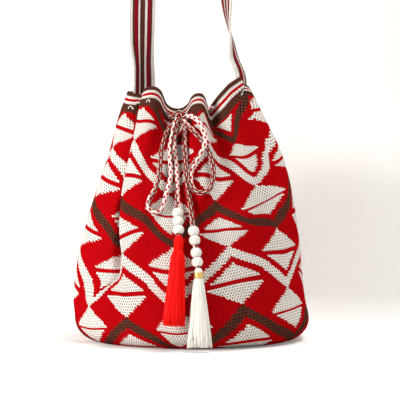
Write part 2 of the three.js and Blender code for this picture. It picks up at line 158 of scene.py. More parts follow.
def formed_grid(columns: int, rows: int, form: Form, uv_size: tuple[float, float]) -> bmesh.types.BMesh:
    """Bend a flat grid into a shape and weld the edges that meet.

    Args:
        columns: Faces across the grid.
        rows: Faces up the grid.
        form: Gives the points of the shape from the shares across and up.
        uv_size: Size of the grid in the pattern's own units.

    Returns:
        The bent mesh, with the flat grid as its UV map.
    """
    mesh = bmesh.new()
    layer = mesh.loops.layers.uv.new("strands")
    bmesh.ops.create_grid(mesh, x_segments=columns, y_segments=rows, size=0.5, calc_uvs=True)
    flat = np.array([vert.co for vert in mesh.verts])
    points = form(flat[:, 0] + 0.5, flat[:, 1] + 0.5)
    for vert, point in zip(mesh.verts, points):
        vert.co = point
    for face in mesh.faces:
        for loop in face.loops:
            uv = loop[layer].uv
            uv.x *= uv_size[0]
            uv.y *= uv_size[1]
    bmesh.ops.remove_doubles(mesh, verts=mesh.verts, dist=WELD)
    return mesh


def close_ends(mesh: bmesh.types.BMesh) -> None:
    """Close the open ends of a tube and turn its faces outwards.

    Args:
        mesh: The tube.
    """
    edges = [edge for edge in mesh.edges if edge.is_boundary]
    bmesh.ops.holes_fill(mesh, edges=edges, sides=0)
    bmesh.ops.recalc_face_normals(mesh, faces=mesh.faces)


def finished(mesh: bmesh.types.BMesh, name: str, material: bpy.types.Material) -> bpy.types.Object:
    """Make an object of a mesh, smooth and with one material.

    Args:
        mesh: The finished mesh, which is freed.
        name: Name of the piece.
        material: Its material.

    Returns:
        The object, at the origin.
    """
    data = bpy.data.meshes.new(name)
    mesh.to_mesh(data)
    mesh.free()
    data.materials.append(material)
    data.shade_smooth()
    piece = bpy.data.objects.new(name, data)
    bpy.context.scene.collection.objects.link(piece)
    return piece


def stand_for(piece: bpy.types.Object, body: Body, node: str) -> None:
    """Let a piece ride on a body in place of its solid.

    Args:
        piece: The piece.
        body: Body that it moves with.
        node: Solid that it stands for.
    """
    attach(piece, body.value)
    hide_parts(node)


@dataclass
class Route:
    """Smooth line of a cord through chosen points.

    Attributes:
        points: Points in millimetres.
        steps: Samples between two points.
        fewest: Fewest stretches that the evenly spaced line has.
    """

    points: Sequence[Point]
    steps: int = 24
    fewest: int = 8

    def fine(self) -> np.ndarray:
        """Sample the line densely.

        Returns:
            Points in metres.
        """
        given = np.asarray(self.points, dtype=float) * MM
        ends = np.vstack([2 * given[0] - given[1], given, 2 * given[-1] - given[-2]])
        samples = []
        t = np.linspace(0.0, 1.0, self.steps, endpoint=False)[:, None]
        for index in range(len(given) - 1):
            a, b, c, d = ends[index : index + 4]
            ab, bc, cd = (math.sqrt(np.linalg.norm(q - p)) for p, q in ((a, b), (b, c), (c, d)))
            start = ((b - a) / ab - (c - a) / (ab + bc) + (c - b) / bc) * bc
            end = ((c - b) / bc - (d - b) / (bc + cd) + (d - c) / cd) * bc
            samples.append(hermite(b, start, c, end, t))
        samples.append(given[-1:])
        return np.vstack(samples)

    def line(self, spacing: float) -> np.ndarray:
        """Space points evenly along the line.

        Args:
            spacing: Distance between points in metres, about.

        Returns:
            Points in metres.
        """
        fine = self.fine()
        run = run_along(fine)
        count = max(self.fewest, round(run[-1] / spacing))
        return points_at(np.linspace(0.0, run[-1], count + 1), run, fine)

    def length(self) -> float:
        """Length of the line in metres."""
        return length_of(self.fine())


def frames_along(line: np.ndarray) -> tuple[np.ndarray, np.ndarray]:
    """Carry a pair of square directions along a line without twist.

    Args:
        line: Points of the line.

    Returns:
        Two unit directions for each point, square to the line.
    """
    ways = unit(np.gradient(line, axis=0))
    first = np.cross(ways[0], SIDE_HINT)
    sides = [first / np.linalg.norm(first)]
    for way in ways[1:]:
        side = sides[-1] - way * np.dot(sides[-1], way)
        sides.append(side / np.linalg.norm(side))
    across = np.array(sides)
    return across, np.cross(ways, across)


def cord_tube(line: np.ndarray, radius: float, turned_by: float, sides: int = 14) -> bmesh.types.BMesh:
    """Make a round cord along a line.

    Args:
        line: Points of the line in metres, evenly spaced.
        radius: Radius of the cord in metres.
        turned_by: Share of a turn that its braid is turned by.
        sides: Faces round the cord.

    Returns:
        A closed tube whose UV map runs once round and by millimetres along.
    """
    across, up = frames_along(line)
    rows = len(line) - 1

    def form(u: np.ndarray, v: np.ndarray) -> np.ndarray:
        """Place the grid on the tube.

        Args:
            u: Shares of the way round.
            v: Shares of the way along.

        Returns:
            Points in metres.
        """
        at = np.rint(v * rows).astype(int)
        turn = 2 * math.pi * (u[:, None] - turned_by)
        return line[at] + radius * (np.cos(turn) * across[at] + np.sin(turn) * up[at])

    mesh = formed_grid(sides, rows, form, (1.0, length_of(line) / MM))
    close_ends(mesh)
    return mesh


class NodeBench:
    """Adds nodes to one tree and joins them."""

    def __init__(self, tree: bpy.types.NodeTree) -> None:
        """Start on a tree."""
        self.tree = tree

    def add(self, kind: str, **settings: object) -> bpy.types.Node:
        """Add a node and set its own properties.

        Args:
            kind: Blender's name of the node.
            settings: Its properties.

        Returns:
            The node.
        """
        node = self.tree.nodes.new(kind)
        for name, value in settings.items():
            setattr(node, name, value)
        return node

    def feed(self, socket: bpy.types.NodeSocket, value: object) -> None:
        """Join an output to a socket, or set the socket's own value.

        Args:
            socket: The socket to feed.
            value: An output or a plain value.
        """
        if isinstance(value, bpy.types.NodeSocket):
            self.tree.links.new(value, socket)
        else:
            socket.default_value = value

    def math(self, operation: str, a: object, b: object = 0.5, clamp: bool = False) -> bpy.types.NodeSocket:
        """Work out one number from one or two.

        Args:
            operation: Name of the operation.
            a: First number or output.
            b: Second number or output.
            clamp: Whether the result stays between 0 and 1.

        Returns:
            The result's output.
        """
        node = self.add("ShaderNodeMath", operation=operation, use_clamp=clamp)
        self.feed(node.inputs[0], a)
        self.feed(node.inputs[1], b)
        node.inputs[2].default_value = 0.5
        return node.outputs[0]

    def scaled(self, value: object, by: float, plus: float) -> bpy.types.NodeSocket:
        """Multiply a number and add another to it."""
        return self.math("ADD", self.math("MULTIPLY", value, by), plus)

    def off_middle(self, value: object) -> bpy.types.NodeSocket:
        """Distance of a number from the middle of the unit that it lies in."""
        return self.math("ABSOLUTE", self.math("SUBTRACT", self.math("FRACT", value), 0.5))

    def step(self, value: object, low: float, high: float) -> bpy.types.NodeSocket:
        """Rise softly from 0 at low to 1 at high, or fall where high is the smaller.

        Args:
            value: Number to judge.
            low: Where the result is 0.
            high: Where the result is 1.

        Returns:
            The result's output.
        """
        node = self.add("ShaderNodeMapRange", interpolation_type="SMOOTHSTEP")
        self.feed(node.inputs[0], value)
        ends = (low, high, 0.0, 1.0) if low < high else (high, low, 1.0, 0.0)
        for socket, end in zip(list(node.inputs)[1:5], ends):
            socket.default_value = end
        return node.outputs[0]

    def mix(self, factor: object, a: object, b: object) -> bpy.types.NodeSocket:
        """Mix two colours.

        Args:
            factor: Share of the second colour.
            a: First colour or output.
            b: Second colour or output.

        Returns:
            The mixed colour's output.
        """
        node = self.add("ShaderNodeMix", data_type="RGBA")
        self.feed(node.inputs[0], factor)
        self.feed(node.inputs[6], a)
        self.feed(node.inputs[7], b)
        return node.outputs[2]

    def split(self, vector: object) -> list[bpy.types.NodeSocket]:
        """Split a vector into its three numbers.

        Args:
            vector: The vector's output.

        Returns:
            The three numbers' outputs.
        """
        node = self.add("ShaderNodeSeparateXYZ")
        self.feed(node.inputs[0], vector)
        return list(node.outputs)

    def join(self, across: object, along: object) -> bpy.types.NodeSocket:
        """Make a flat vector of two numbers.

        Args:
            across: First number.
            along: Second number.

        Returns:
            The vector's output.
        """
        node = self.add("ShaderNodeCombineXYZ")
        self.feed(node.inputs[0], across)
        self.feed(node.inputs[1], along)
        return node.outputs[0]

    def place(self) -> bpy.types.NodeSocket:
        """Place on the object, in metres."""
        return self.add("ShaderNodeTexCoord").outputs["Object"]

    def seen(self) -> bpy.types.NodeSocket:
        """Give 1 for rays that show a surface to the camera, directly, by gloss or through glass.

        Returns:
            The number's output.
        """
        rays = self.add("ShaderNodeLightPath").outputs
        mirrored = self.math("MAXIMUM", rays["Is Glossy Ray"], rays["Is Transmission Ray"])
        return self.math("MAXIMUM", rays["Is Camera Ray"], mirrored)

    def noise(self, vector: object, scale: float, detail: float = 3.0) -> bpy.types.NodeSocket:
        """Soft noise between 0 and 1.

        Args:
            vector: Where to read it.
            scale: Its scale.
            detail: Its finer layers.

        Returns:
            The noise's output.
        """
        node = self.add("ShaderNodeTexNoise")
        self.feed(node.inputs["Vector"], vector)
        node.inputs["Scale"].default_value = scale
        node.inputs["Detail"].default_value = detail
        return node.outputs["Fac"]


def new_group(name: str, inputs: Sequence[str], outputs: Sequence[str]) -> bpy.types.NodeTree:
    """Start a shader node group with vector inputs and number outputs.

    Args:
        name: Name of the group.
        inputs: Names of its vector inputs.
        outputs: Names of its number outputs.

    Returns:
        The group's tree, with its input and output nodes added.
    """
    tree = bpy.data.node_groups.new(name, "ShaderNodeTree")
    for label in inputs:
        tree.interface.new_socket(label, in_out="INPUT", socket_type="NodeSocketVector")
    for label in outputs:
        tree.interface.new_socket(label, in_out="OUTPUT", socket_type="NodeSocketFloat")
    tree.nodes.new("NodeGroupInput").name = "in"
    tree.nodes.new("NodeGroupOutput").name = "out"
    return tree


@dataclass(frozen=True)
class CrochetStitch:
    """Single crochet: rows of stitches, each set half a stitch over, with a hole between each two.

    The width and height count columns and rounds of the chart, and a hole's edges are shares of a stitch.
    """

    width: float = 4 / 3
    height: float = 1.22
    hole_sides: tuple[float, float] = (0.18, 0.34)
    hole_ends: tuple[float, float] = (0.44, 0.22)
    round_across: float = 0.9
    round_up: float = 0.3

    def group(self) -> bpy.types.NodeTree:
        """Build the stitch as a node group that gives its height, its hole and its own tone.

        Returns:
            The group's tree.
        """
        tree = new_group("crochet_stitch", ["Stitches"], ["Height", "Hole", "Tone"])
        bench = NodeBench(tree)
        u, v, _ = bench.split(tree.nodes["in"].outputs[0])
        v = bench.math("DIVIDE", v, self.height)
        row = bench.math("FLOOR", v)
        over = bench.math("MULTIPLY", bench.math("FLOORED_MODULO", row, 2.0), 0.5)
        along = bench.math("ADD", bench.math("DIVIDE", u, self.width), over)
        off, rise = bench.off_middle(along), bench.off_middle(v)
        fall = bench.math("MULTIPLY", off, self.round_across)
        fall = bench.math("ADD", fall, bench.math("MULTIPLY", rise, self.round_up))
        hole = bench.math("MULTIPLY", bench.step(off, *self.hole_sides), bench.step(rise, *self.hole_ends))
        tone = bench.add("ShaderNodeTexWhiteNoise", noise_dimensions="2D")
        bench.feed(tone.inputs["Vector"], bench.join(bench.math("FLOOR", along), row))
        out = tree.nodes["out"]
        bench.feed(out.inputs["Height"], bench.math("SUBTRACT", 1.0, fall))
        bench.feed(out.inputs["Hole"], hole)
        bench.feed(out.inputs["Tone"], tone.outputs["Value"])
        return tree


@dataclass(frozen=True)
class RoundBraid:
    """Round braid: one side light with rows of red flecks, the other dark with light lines.

    Rates are for each millimetre of cord, and the flecks' and lines' sizes are shares of a lane.
    """

    strands: float = 5.0
    crossings: float = 0.32
    twist: float = 0.0042
    dark_from: float = 0.45
    lanes: float = 6.0
    fleck_rate: float = 0.11
    fleck_half_length: float = 0.2
    fleck_half_width: float = 0.4
    dark_side_loss: float = 0.18
    line_half_width: float = 0.13

    def ridge(self, bench: NodeBench, run: object, shown: object) -> bpy.types.NodeSocket:
        """Round ridges of the strands that run one way, where they lie on top."""
        wave = bench.math("ABSOLUTE", bench.math("SINE", bench.math("MULTIPLY", run, math.pi)))
        return bench.math("MULTIPLY", wave, shown)

    def group(self) -> bpy.types.NodeTree:
        """Build the braid as a node group that gives its height and its red and brown strands.

        Returns:
            The group's tree.
        """
        tree = new_group("braid_strands", ["Along"], ["Height", "Red", "Brown"])
        bench = NodeBench(tree)
        u, v, _ = bench.split(tree.nodes["in"].outputs[0])
        turns = bench.math("MULTIPLY", u, self.strands)
        rise = bench.math("MULTIPLY", v, self.crossings)
        right, left = bench.math("ADD", rise, turns), bench.math("SUBTRACT", rise, turns)
        odd = bench.math("ADD", bench.math("FLOOR", right), bench.math("FLOOR", left))
        over = bench.math("MODULO", bench.math("ABSOLUTE", odd), 2.0)
        under = bench.math("SUBTRACT", 1.0, over)
        height = bench.math("ADD", self.ridge(bench, right, over), self.ridge(bench, left, under))
        share = bench.math("FRACT", bench.math("ADD", u, bench.math("MULTIPLY", v, self.twist)))
        dark_side = bench.math("GREATER_THAN", share, self.dark_from)
        lanes = bench.math("MULTIPLY", share, self.lanes)
        off = bench.off_middle(lanes)
        stagger = bench.math("MULTIPLY", bench.math("MODULO", bench.math("FLOOR", lanes), 2.0), 0.5)
        along = bench.math("ADD", bench.math("MULTIPLY", v, self.fleck_rate), stagger)
        fleck = bench.math("LESS_THAN", bench.off_middle(along), self.fleck_half_length)
        loss = bench.math("MULTIPLY", dark_side, self.dark_side_loss)
        lane = bench.math("LESS_THAN", off, bench.math("SUBTRACT", self.fleck_half_width, loss))
        red = bench.math("MULTIPLY", fleck, lane)
        dark = bench.math("MULTIPLY", dark_side, bench.math("GREATER_THAN", off, self.line_half_width))
        out = tree.nodes["out"]
        bench.feed(out.inputs["Height"], height)
        bench.feed(out.inputs["Red"], red)
        bench.feed(out.inputs["Brown"], bench.math("MULTIPLY", dark, bench.math("SUBTRACT", 1.0, red)))
        return tree


@dataclass(frozen=True)
class LaidThreads:
    """Fine threads that run side by side along the second direction."""

    tone_across: float = 0.7
    tone_along: float = 0.06
    tone_detail: float = 2.0

    def group(self) -> bpy.types.NodeTree:
        """Build the threads as a node group that gives their height and their tone.

        Returns:
            The group's tree.
        """
        tree = new_group("laid_threads", ["Along"], ["Height", "Tone"])
        bench = NodeBench(tree)
        u, v, _ = bench.split(tree.nodes["in"].outputs[0])
        wave = bench.math("SINE", bench.math("MULTIPLY", u, 2 * math.pi))
        across = bench.math("MULTIPLY", u, self.tone_across)
        along = bench.math("MULTIPLY", v, self.tone_along)
        out = tree.nodes["out"]
        bench.feed(out.inputs["Height"], bench.scaled(wave, 0.5, 0.5))
        bench.feed(out.inputs["Tone"], bench.noise(bench.join(across, along), 1.0, self.tone_detail))
        return tree


@dataclass(frozen=True)
class StitchChart:
    """Tapestry pattern: zigzag bands with split diamonds between them.

    Levels count the bands upwards. Labels are degrees round the bag, one to a stitch, with a peak of
    every band at 0. Stitches are counted from the first label and, upwards, from the middle of the base.
    """

    repeat: float = 60.0
    fall: float = 0.66
    band: float = 0.175
    big_height: float = 0.367
    line: float = 0.07
    small_height: float = 0.276
    big_half: float = 15.0
    small_half: float = 12.0
    rim_level: float = 5.2
    first_level: float = -0.5
    first_label: float = -195.0
    rounds: int = 151
    base_rounds: int = 10
    rim_stripes: tuple[float, ...] = (2.4, 3.9, 5.5, 7.2, 12.0)
    eyelets: tuple[float, ...] = (-165.0, -117.0, -57.0, 50.0, 105.0, 150.0)
    eyelet_drop: float = 9.6
    # Radius of the painted shade in an eyelet, then the reach and lowest point of the painted highlight on
    # its upper edge.
    eyelet_hole: float = 0.8
    eyelet_edge: float = 1.5
    eyelet_edge_low: float = 0.4
    lean: float = 0.75

    def round_level(self) -> float:
        """Levels in one round of stitches."""
        return (self.rim_level - self.first_level) / self.rounds

    def diamond(self, bench: NodeBench, off: object, rise: object) -> bpy.types.NodeSocket:
        """Mask of a split diamond that stands on its long point.

        Args:
            bench: Bench of the group.
            off: Degrees from the diamond's middle.
            rise: Levels above its long point.

        Returns:
            The mask's output.
        """
        short = self.big_height + self.line
        top = short + self.small_height
        low = bench.math("LESS_THAN", off, bench.math("MULTIPLY", rise, self.big_half / self.big_height))
        low = bench.math("MULTIPLY", low, bench.math("LESS_THAN", rise, self.big_height))
        left = bench.math("SUBTRACT", top, rise)
        high = bench.math("LESS_THAN", off, bench.math("MULTIPLY", left, self.small_half / self.small_height))
        high = bench.math("MULTIPLY", high, bench.math("GREATER_THAN", rise, short))
        return bench.math("MAXIMUM", low, high)

    def group(self) -> bpy.types.NodeTree:
        """Build the chart as a node group that gives the cream stitches and painted eyelet highlights, the
        brown stitches and the painted eyelet shade.

        Returns:
            The group's tree.
        """
        tree = new_group("tapestry_chart", ["Stitches"], ["Cream", "Brown", "EyeletShade"])
        bench = NodeBench(tree)
        u, v, _ = bench.split(tree.nodes["in"].outputs[0])
        row = bench.math("FLOOR", v)
        column = bench.math("FLOOR", bench.math("ADD", u, bench.math("MULTIPLY", v, self.lean)))
        leant = bench.math("MULTIPLY", bench.math("ADD", row, 0.5), self.lean)
        label = bench.math("ADD", bench.math("SUBTRACT", column, leant), self.first_label + 0.5)
        start = self.first_level + (0.5 - self.base_rounds) * self.round_level()
        level = bench.scaled(row, self.round_level(), start)
        half = 0.5 * self.repeat
        turned = bench.math("FLOORED_MODULO", bench.math("ADD", label, half), self.repeat)
        off = bench.math("ABSOLUTE", bench.math("SUBTRACT", turned, half))
        above = bench.math("ADD", level, bench.math("MULTIPLY", off, self.fall / half))
        below = bench.math("FLOOR", above)
        in_band = bench.math("GREATER_THAN", bench.math("FRACT", above), 1.0 - self.band)
        odd = bench.math("FLOORED_MODULO", bench.math("ADD", below, 1.0), 2.0)
        peak = self.diamond(bench, off, bench.math("SUBTRACT", level, below))
        drop = bench.math("SUBTRACT", bench.math("ADD", below, 1.0 - self.fall - self.band), level)
        valley = self.diamond(bench, bench.math("SUBTRACT", half, off), drop)
        brown = bench.math("MULTIPLY", in_band, odd)
        cream = bench.math("SUBTRACT", in_band, brown)
        for diamond in (peak, valley):
            cream = bench.math("MAXIMUM", cream, self.unless(bench, in_band, diamond))
        down = bench.math("SUBTRACT", float(self.base_rounds + self.rounds), v)
        inside = [bench.math("LESS_THAN", down, edge) for edge in self.rim_stripes]
        lines = bench.math("ADD", *(bench.math("SUBTRACT", inside[at], inside[at - 1]) for at in (1, 3)))
        middle = bench.math("SUBTRACT", inside[2], inside[1])
        edges = self.unless(bench, bench.math("ADD", lines, middle), inside[4])
        ring, hole = self.eyelet(bench, bench.math("ADD", u, self.first_label), down)
        cream = bench.math("MAXIMUM", self.unless(bench, inside[4], cream), lines)
        # The eyelets' upper edges are painted cream as a painted highlight.
        cream = bench.math("MAXIMUM", cream, ring)
        brown = bench.math("MAXIMUM", self.unless(bench, inside[4], brown), edges)
        out = tree.nodes["out"]
        bench.feed(out.inputs["Cream"], cream)
        bench.feed(out.inputs["Brown"], self.unless(bench, ring, brown))
        # The eyelets' mask carries painted shade.
        bench.feed(out.inputs["EyeletShade"], hole)
        return tree

    def eyelet(self, bench: NodeBench, label: object, down: object) -> tuple[object, object]:
        """Masks of the painted highlight on the eyelets' upper edges and of the painted shade in their holes.

        Args:
            bench: Bench of the group.
            label: Degrees round the pattern.
            down: Rounds below the rim.

        Returns:
            The painted highlight's and the painted shade's outputs.
        """
        below = bench.math("SUBTRACT", down, self.eyelet_drop)
        beside = None
        for place in self.eyelets:
            off = bench.math("ABSOLUTE", bench.math("SUBTRACT", label, place))
            beside = off if beside is None else bench.math("MINIMUM", beside, off)
        squares = [bench.math("MULTIPLY", way, way) for way in (beside, below)]
        far = bench.math("SQRT", bench.math("ADD", *squares))
        # Painted shade fills each eyelet's middle, and a painted highlight lies on its upper edge.
        hole = bench.math("LESS_THAN", far, self.eyelet_hole)
        upper = bench.math("LESS_THAN", below, self.eyelet_edge_low)
        ring = bench.math("MULTIPLY", bench.math("LESS_THAN", far, self.eyelet_edge), upper)
        return self.unless(bench, hole, ring), hole

    def unless(self, bench: NodeBench, cover: object, mask: object) -> bpy.types.NodeSocket:
        """Take a mask away wherever a cover lies."""
        return bench.math("MULTIPLY", mask, bench.math("SUBTRACT", 1.0, cover))


CHART = StitchChart()


@dataclass(frozen=True)
class Palette:
    """Yarn, thread and fitting colours, as linear values."""

    red: Colour = (0.59, 0.001, 0.004, 1.0)
    cream: Colour = (0.97, 0.90, 0.84, 1.0)
    brown: Colour = (0.115, 0.036, 0.023, 1.0)
    crochet_red: Colour = (0.485, 0.001, 0.004, 1.0)
    crochet_cream: Colour = (0.90, 0.835, 0.78, 1.0)
    crochet_brown: Colour = (0.054, 0.0115, 0.0065, 1.0)
    carried_yarn: Colour = (0.16, 0.075, 0.052, 1.0)
    # Painted shade in stitch holes and eyelets, also the dark end of the yarn's random tone.
    hole_shade_and_dark_tone: Colour = (0.012, 0.006, 0.005, 1.0)
    wine: Colour = (0.30, 0.006, 0.020, 1.0)
    # Painted shade in the weave's gaps, also the dark end of the threads' random tone.
    weave_shade: Colour = (0.015, 0.008, 0.006, 1.0)
    # Painted shade in the braid's grooves.
    braid_shade: Colour = (0.10, 0.06, 0.05, 1.0)
    silk_red: Colour = (0.95, 0.008, 0.005, 1.0)
    # Painted shade in the furrows between threads, also the deeper random thread tone.
    silk_red_shade: Colour = (0.78, 0.002, 0.002, 1.0)
    silk_white: Colour = (0.97, 0.96, 0.91, 1.0)
    # Painted shade in the furrows between threads, also the deeper random thread tone.
    silk_white_shade: Colour = (0.84, 0.81, 0.72, 1.0)
    bead: Colour = (0.84, 0.81, 0.76, 1.0)
    bead_shade: Colour = (0.62, 0.55, 0.45, 1.0)
    gold: Colour = (0.74, 0.52, 0.17, 1.0)
    gold_shade: Colour = (0.45, 0.27, 0.07, 1.0)
    paper: Colour = (0.86, 0.855, 0.84, 1.0)
    paper_shade: Colour = (0.6, 0.6, 0.6, 1.0)
    paper_glow: Colour = (1.0, 0.99, 0.97, 1.0)
    room: Colour = (1.0, 0.96, 0.90, 1.0)
    white: Colour = (1.0, 1.0, 1.0, 1.0)


PALETTE = Palette()


class MaterialBench(NodeBench):
    """Bench of one material, with its shader at hand."""

    def __init__(self, material: bpy.types.Material) -> None:
        """Start on a material."""
        super().__init__(material.node_tree)
        self.shader = self.tree.nodes["Principled BSDF"]

    def give(self, socket: str, value: object) -> None:
        """Feed one of the shader's sockets."""
        self.feed(self.shader.inputs[socket], value)

    def use_group(self, tree: bpy.types.NodeTree, vector: object) -> dict[str, object]:
        """Place a node group on a vector.

        Args:
            tree: The group's tree.
            vector: What the group reads.

        Returns:
            The group's outputs by name.
        """
        node = self.add("ShaderNodeGroup", node_tree=tree)
        self.feed(node.inputs[0], vector)
        return {output.name: output for output in node.outputs}

    def strands(self, scale: tuple[float, float] = (1.0, 1.0)) -> bpy.types.NodeSocket:
        """Read the piece's own strand map.

        Args:
            scale: What its two directions are multiplied by.

        Returns:
            The map's output.
        """
        mapping = self.add("ShaderNodeMapping")
        mapping.inputs["Scale"].default_value = (*scale, 1.0)
        self.feed(mapping.inputs["Vector"], self.add("ShaderNodeUVMap", uv_map="strands").outputs[0])
        return mapping.outputs[0]


class Finish:
    """A material that is built once from its own nodes. The relief's depth is in metres."""

    name: str = "finish"
    roughness: float = 0.8
    metallic: float = 0.0
    coat: float = 0.0
    shine: float = 0.02
    relief_depth: float = 0.0005
    relief_share: float = 0.6

    def build(self) -> bpy.types.Material:
        """Build the material with its shader, and dress it.

        Returns:
            The finished material.
        """
        material = bpy.data.materials.new(self.name)
        material.use_nodes = True
        bench = MaterialBench(material)
        bench.give("Roughness", self.roughness)
        bench.give("Metallic", self.metallic)
        bench.give("Coat Weight", self.coat)
        bench.give("Specular IOR Level", self.shine)
        self.dress(bench)
        return material

    def dress(self, bench: MaterialBench) -> None:
        """Feed the shader's colour, roughness and relief."""
        raise NotImplementedError

    def relief(self, bench: MaterialBench, height: object) -> None:
        """Feed the shader's normal from a height.

        Args:
            bench: Bench of the material.
            height: Height between 0 and 1.
        """
        bump = bench.add("ShaderNodeBump")
        bump.inputs["Strength"].default_value = self.relief_share
        bump.inputs["Distance"].default_value = self.relief_depth
        bench.feed(bump.inputs["Height"], height)
        bench.give("Normal", bump.outputs[0])


@dataclass(frozen=True)
class CrochetFinish(Finish):
    """Cotton crochet in three yarns."""

    group: bpy.types.NodeTree
    chart: bpy.types.NodeTree
    name: str = "crochet_cotton"
    roughness: float = 0.9
    shine: float = 0.0
    relief_depth: float = 0.0008
    relief_share: float = 0.4
    hole_in_red: float = 0.4
    hole_gain: float = 0.35
    hole_depth: float = 0.8
    patch_scale: float = 14.0
    patch_edges: tuple[float, float] = (0.25, 0.75)
    patch_shade: float = 0.06
    stitch_shade: float = 0.08

    def dress(self, bench: MaterialBench) -> None:
        """Colour each stitch by its yarn, paint shade into its hole (brown stitches show the carried yarn
        there), paint shade into the eyelets and raise its yarn.

        Args:
            bench: Bench of the material.
        """
        stitches = bench.strands()
        stitch = bench.use_group(self.group, stitches)
        masks = bench.use_group(self.chart, stitches)
        colour = bench.mix(masks["Cream"], PALETTE.crochet_red, PALETTE.crochet_cream)
        colour = bench.mix(masks["Brown"], colour, PALETTE.crochet_brown)
        # Painted shade shows through the holes of red and cream stitches; brown stitches show the carried
        # yarn.
        behind = bench.mix(masks["Brown"], PALETTE.hole_shade_and_dark_tone, PALETTE.carried_yarn)
        not_red = bench.math("MAXIMUM", masks["Cream"], masks["Brown"])
        strength = bench.scaled(not_red, self.hole_gain, self.hole_in_red)
        colour = bench.mix(bench.math("MULTIPLY", stitch["Hole"], strength), colour, behind)
        patch = bench.step(bench.noise(bench.place(), self.patch_scale), *self.patch_edges)
        shade = bench.math("MULTIPLY", stitch["Tone"], self.stitch_shade)
        shade = bench.math("ADD", bench.math("MULTIPLY", patch, self.patch_shade), shade)
        # The eyelets get painted shade, over the yarn's random tone.
        dark = bench.math("MAXIMUM", shade, masks["EyeletShade"])
        bench.give("Base Color", bench.mix(dark, colour, PALETTE.hole_shade_and_dark_tone))
        sunk = bench.math("MULTIPLY", stitch["Hole"], self.hole_depth)
        self.relief(bench, bench.math("SUBTRACT", stitch["Height"], sunk))


@dataclass(frozen=True)
class StrapFinish(Finish):
    """Warp-faced weaving in stripes, each given by where it starts across the strap."""

    group: bpy.types.NodeTree
    name: str = "striped_weave"
    roughness: float = 0.85
    relief_depth: float = 0.0008
    relief_share: float = 0.7
    weave: tuple[float, float] = (32.0, 0.94)
    hole_shade: float = 0.55
    thread_shade: float = 0.15
    stripes: tuple[tuple[float, Colour], ...] = (
        (0.0, PALETTE.cream), (0.115, PALETTE.brown), (0.195, PALETTE.wine), (0.345, PALETTE.cream),
        (0.41, PALETTE.brown), (0.60, PALETTE.cream), (0.69, PALETTE.wine), (0.82, PALETTE.brown),
        (0.885, PALETTE.cream),
    )

    def dress(self, bench: MaterialBench) -> None:
        """Stripe the strap across its width, paint shade into the gaps of the weave and rib it along.

        Args:
            bench: Bench of the material.
        """
        across, _, _ = bench.split(bench.strands())
        ramp = bench.add("ShaderNodeValToRGB")
        ramp.color_ramp.interpolation = "CONSTANT"
        points = ramp.color_ramp.elements
        for index, (start, colour) in enumerate(self.stripes):
            point = points[index] if index < len(points) else points.new(start)
            point.position = start
            point.color = colour
        bench.feed(ramp.inputs[0], across)
        knit = bench.use_group(self.group, bench.strands(self.weave))
        # Painted shade in the weave's gaps, with the threads' random tone.
        dark = bench.math("MULTIPLY", knit["Hole"], self.hole_shade)
        dark = bench.math("ADD", dark, bench.math("MULTIPLY", knit["Tone"], self.thread_shade), clamp=True)
        bench.give("Base Color", bench.mix(dark, ramp.outputs[0], PALETTE.weave_shade))
        self.relief(bench, knit["Height"])


@dataclass(frozen=True)
class BraidFinish(Finish):
    """Braided cotton cord, cream with red and brown strands."""

    group: bpy.types.NodeTree
    name: str = "braided_cotton"
    roughness: float = 0.85
    groove: tuple[float, float] = (0.4, 0.05)
    groove_shade: float = 0.6

    def dress(self, bench: MaterialBench) -> None:
        """Colour the crossing strands, paint shade into the grooves between them and raise them.

        Args:
            bench: Bench of the material.
        """
        braid = bench.use_group(self.group, bench.strands())
        colour = bench.mix(braid["Red"], PALETTE.cream, PALETTE.red)
        colour = bench.mix(braid["Brown"], colour, PALETTE.brown)
        # Painted shade in the grooves between the strands.
        deep = bench.math("MULTIPLY", bench.step(braid["Height"], *self.groove), self.groove_shade)
        bench.give("Base Color", bench.mix(deep, colour, PALETTE.braid_shade))
        self.relief(bench, braid["Height"])


@dataclass(frozen=True)
class BeadFinish(Finish):
    """Painted wooden bead, cream and softly shining."""

    name: str = "painted_bead"
    roughness: float = 0.32
    coat: float = 0.35
    shine: float = 0.5
    relief_depth: float = 0.0002
    relief_share: float = 0.25
    mottle_scale: float = 240.0
    mottle_shade: float = 0.22
    rough_range: tuple[float, float] = (0.16, 0.24)
    grain_scale: float = 900.0

    def dress(self, bench: MaterialBench) -> None:
        """Mottle the paint a little in colour, shine and relief.

        Args:
            bench: Bench of the material.
        """
        place = bench.place()
        mottle = bench.noise(place, self.mottle_scale)
        worn = bench.math("MULTIPLY", mottle, self.mottle_shade)
        bench.give("Base Color", bench.mix(worn, PALETTE.bead, PALETTE.bead_shade))
        bench.give("Roughness", bench.scaled(mottle, *self.rough_range))
        self.relief(bench, bench.noise(place, self.grain_scale))


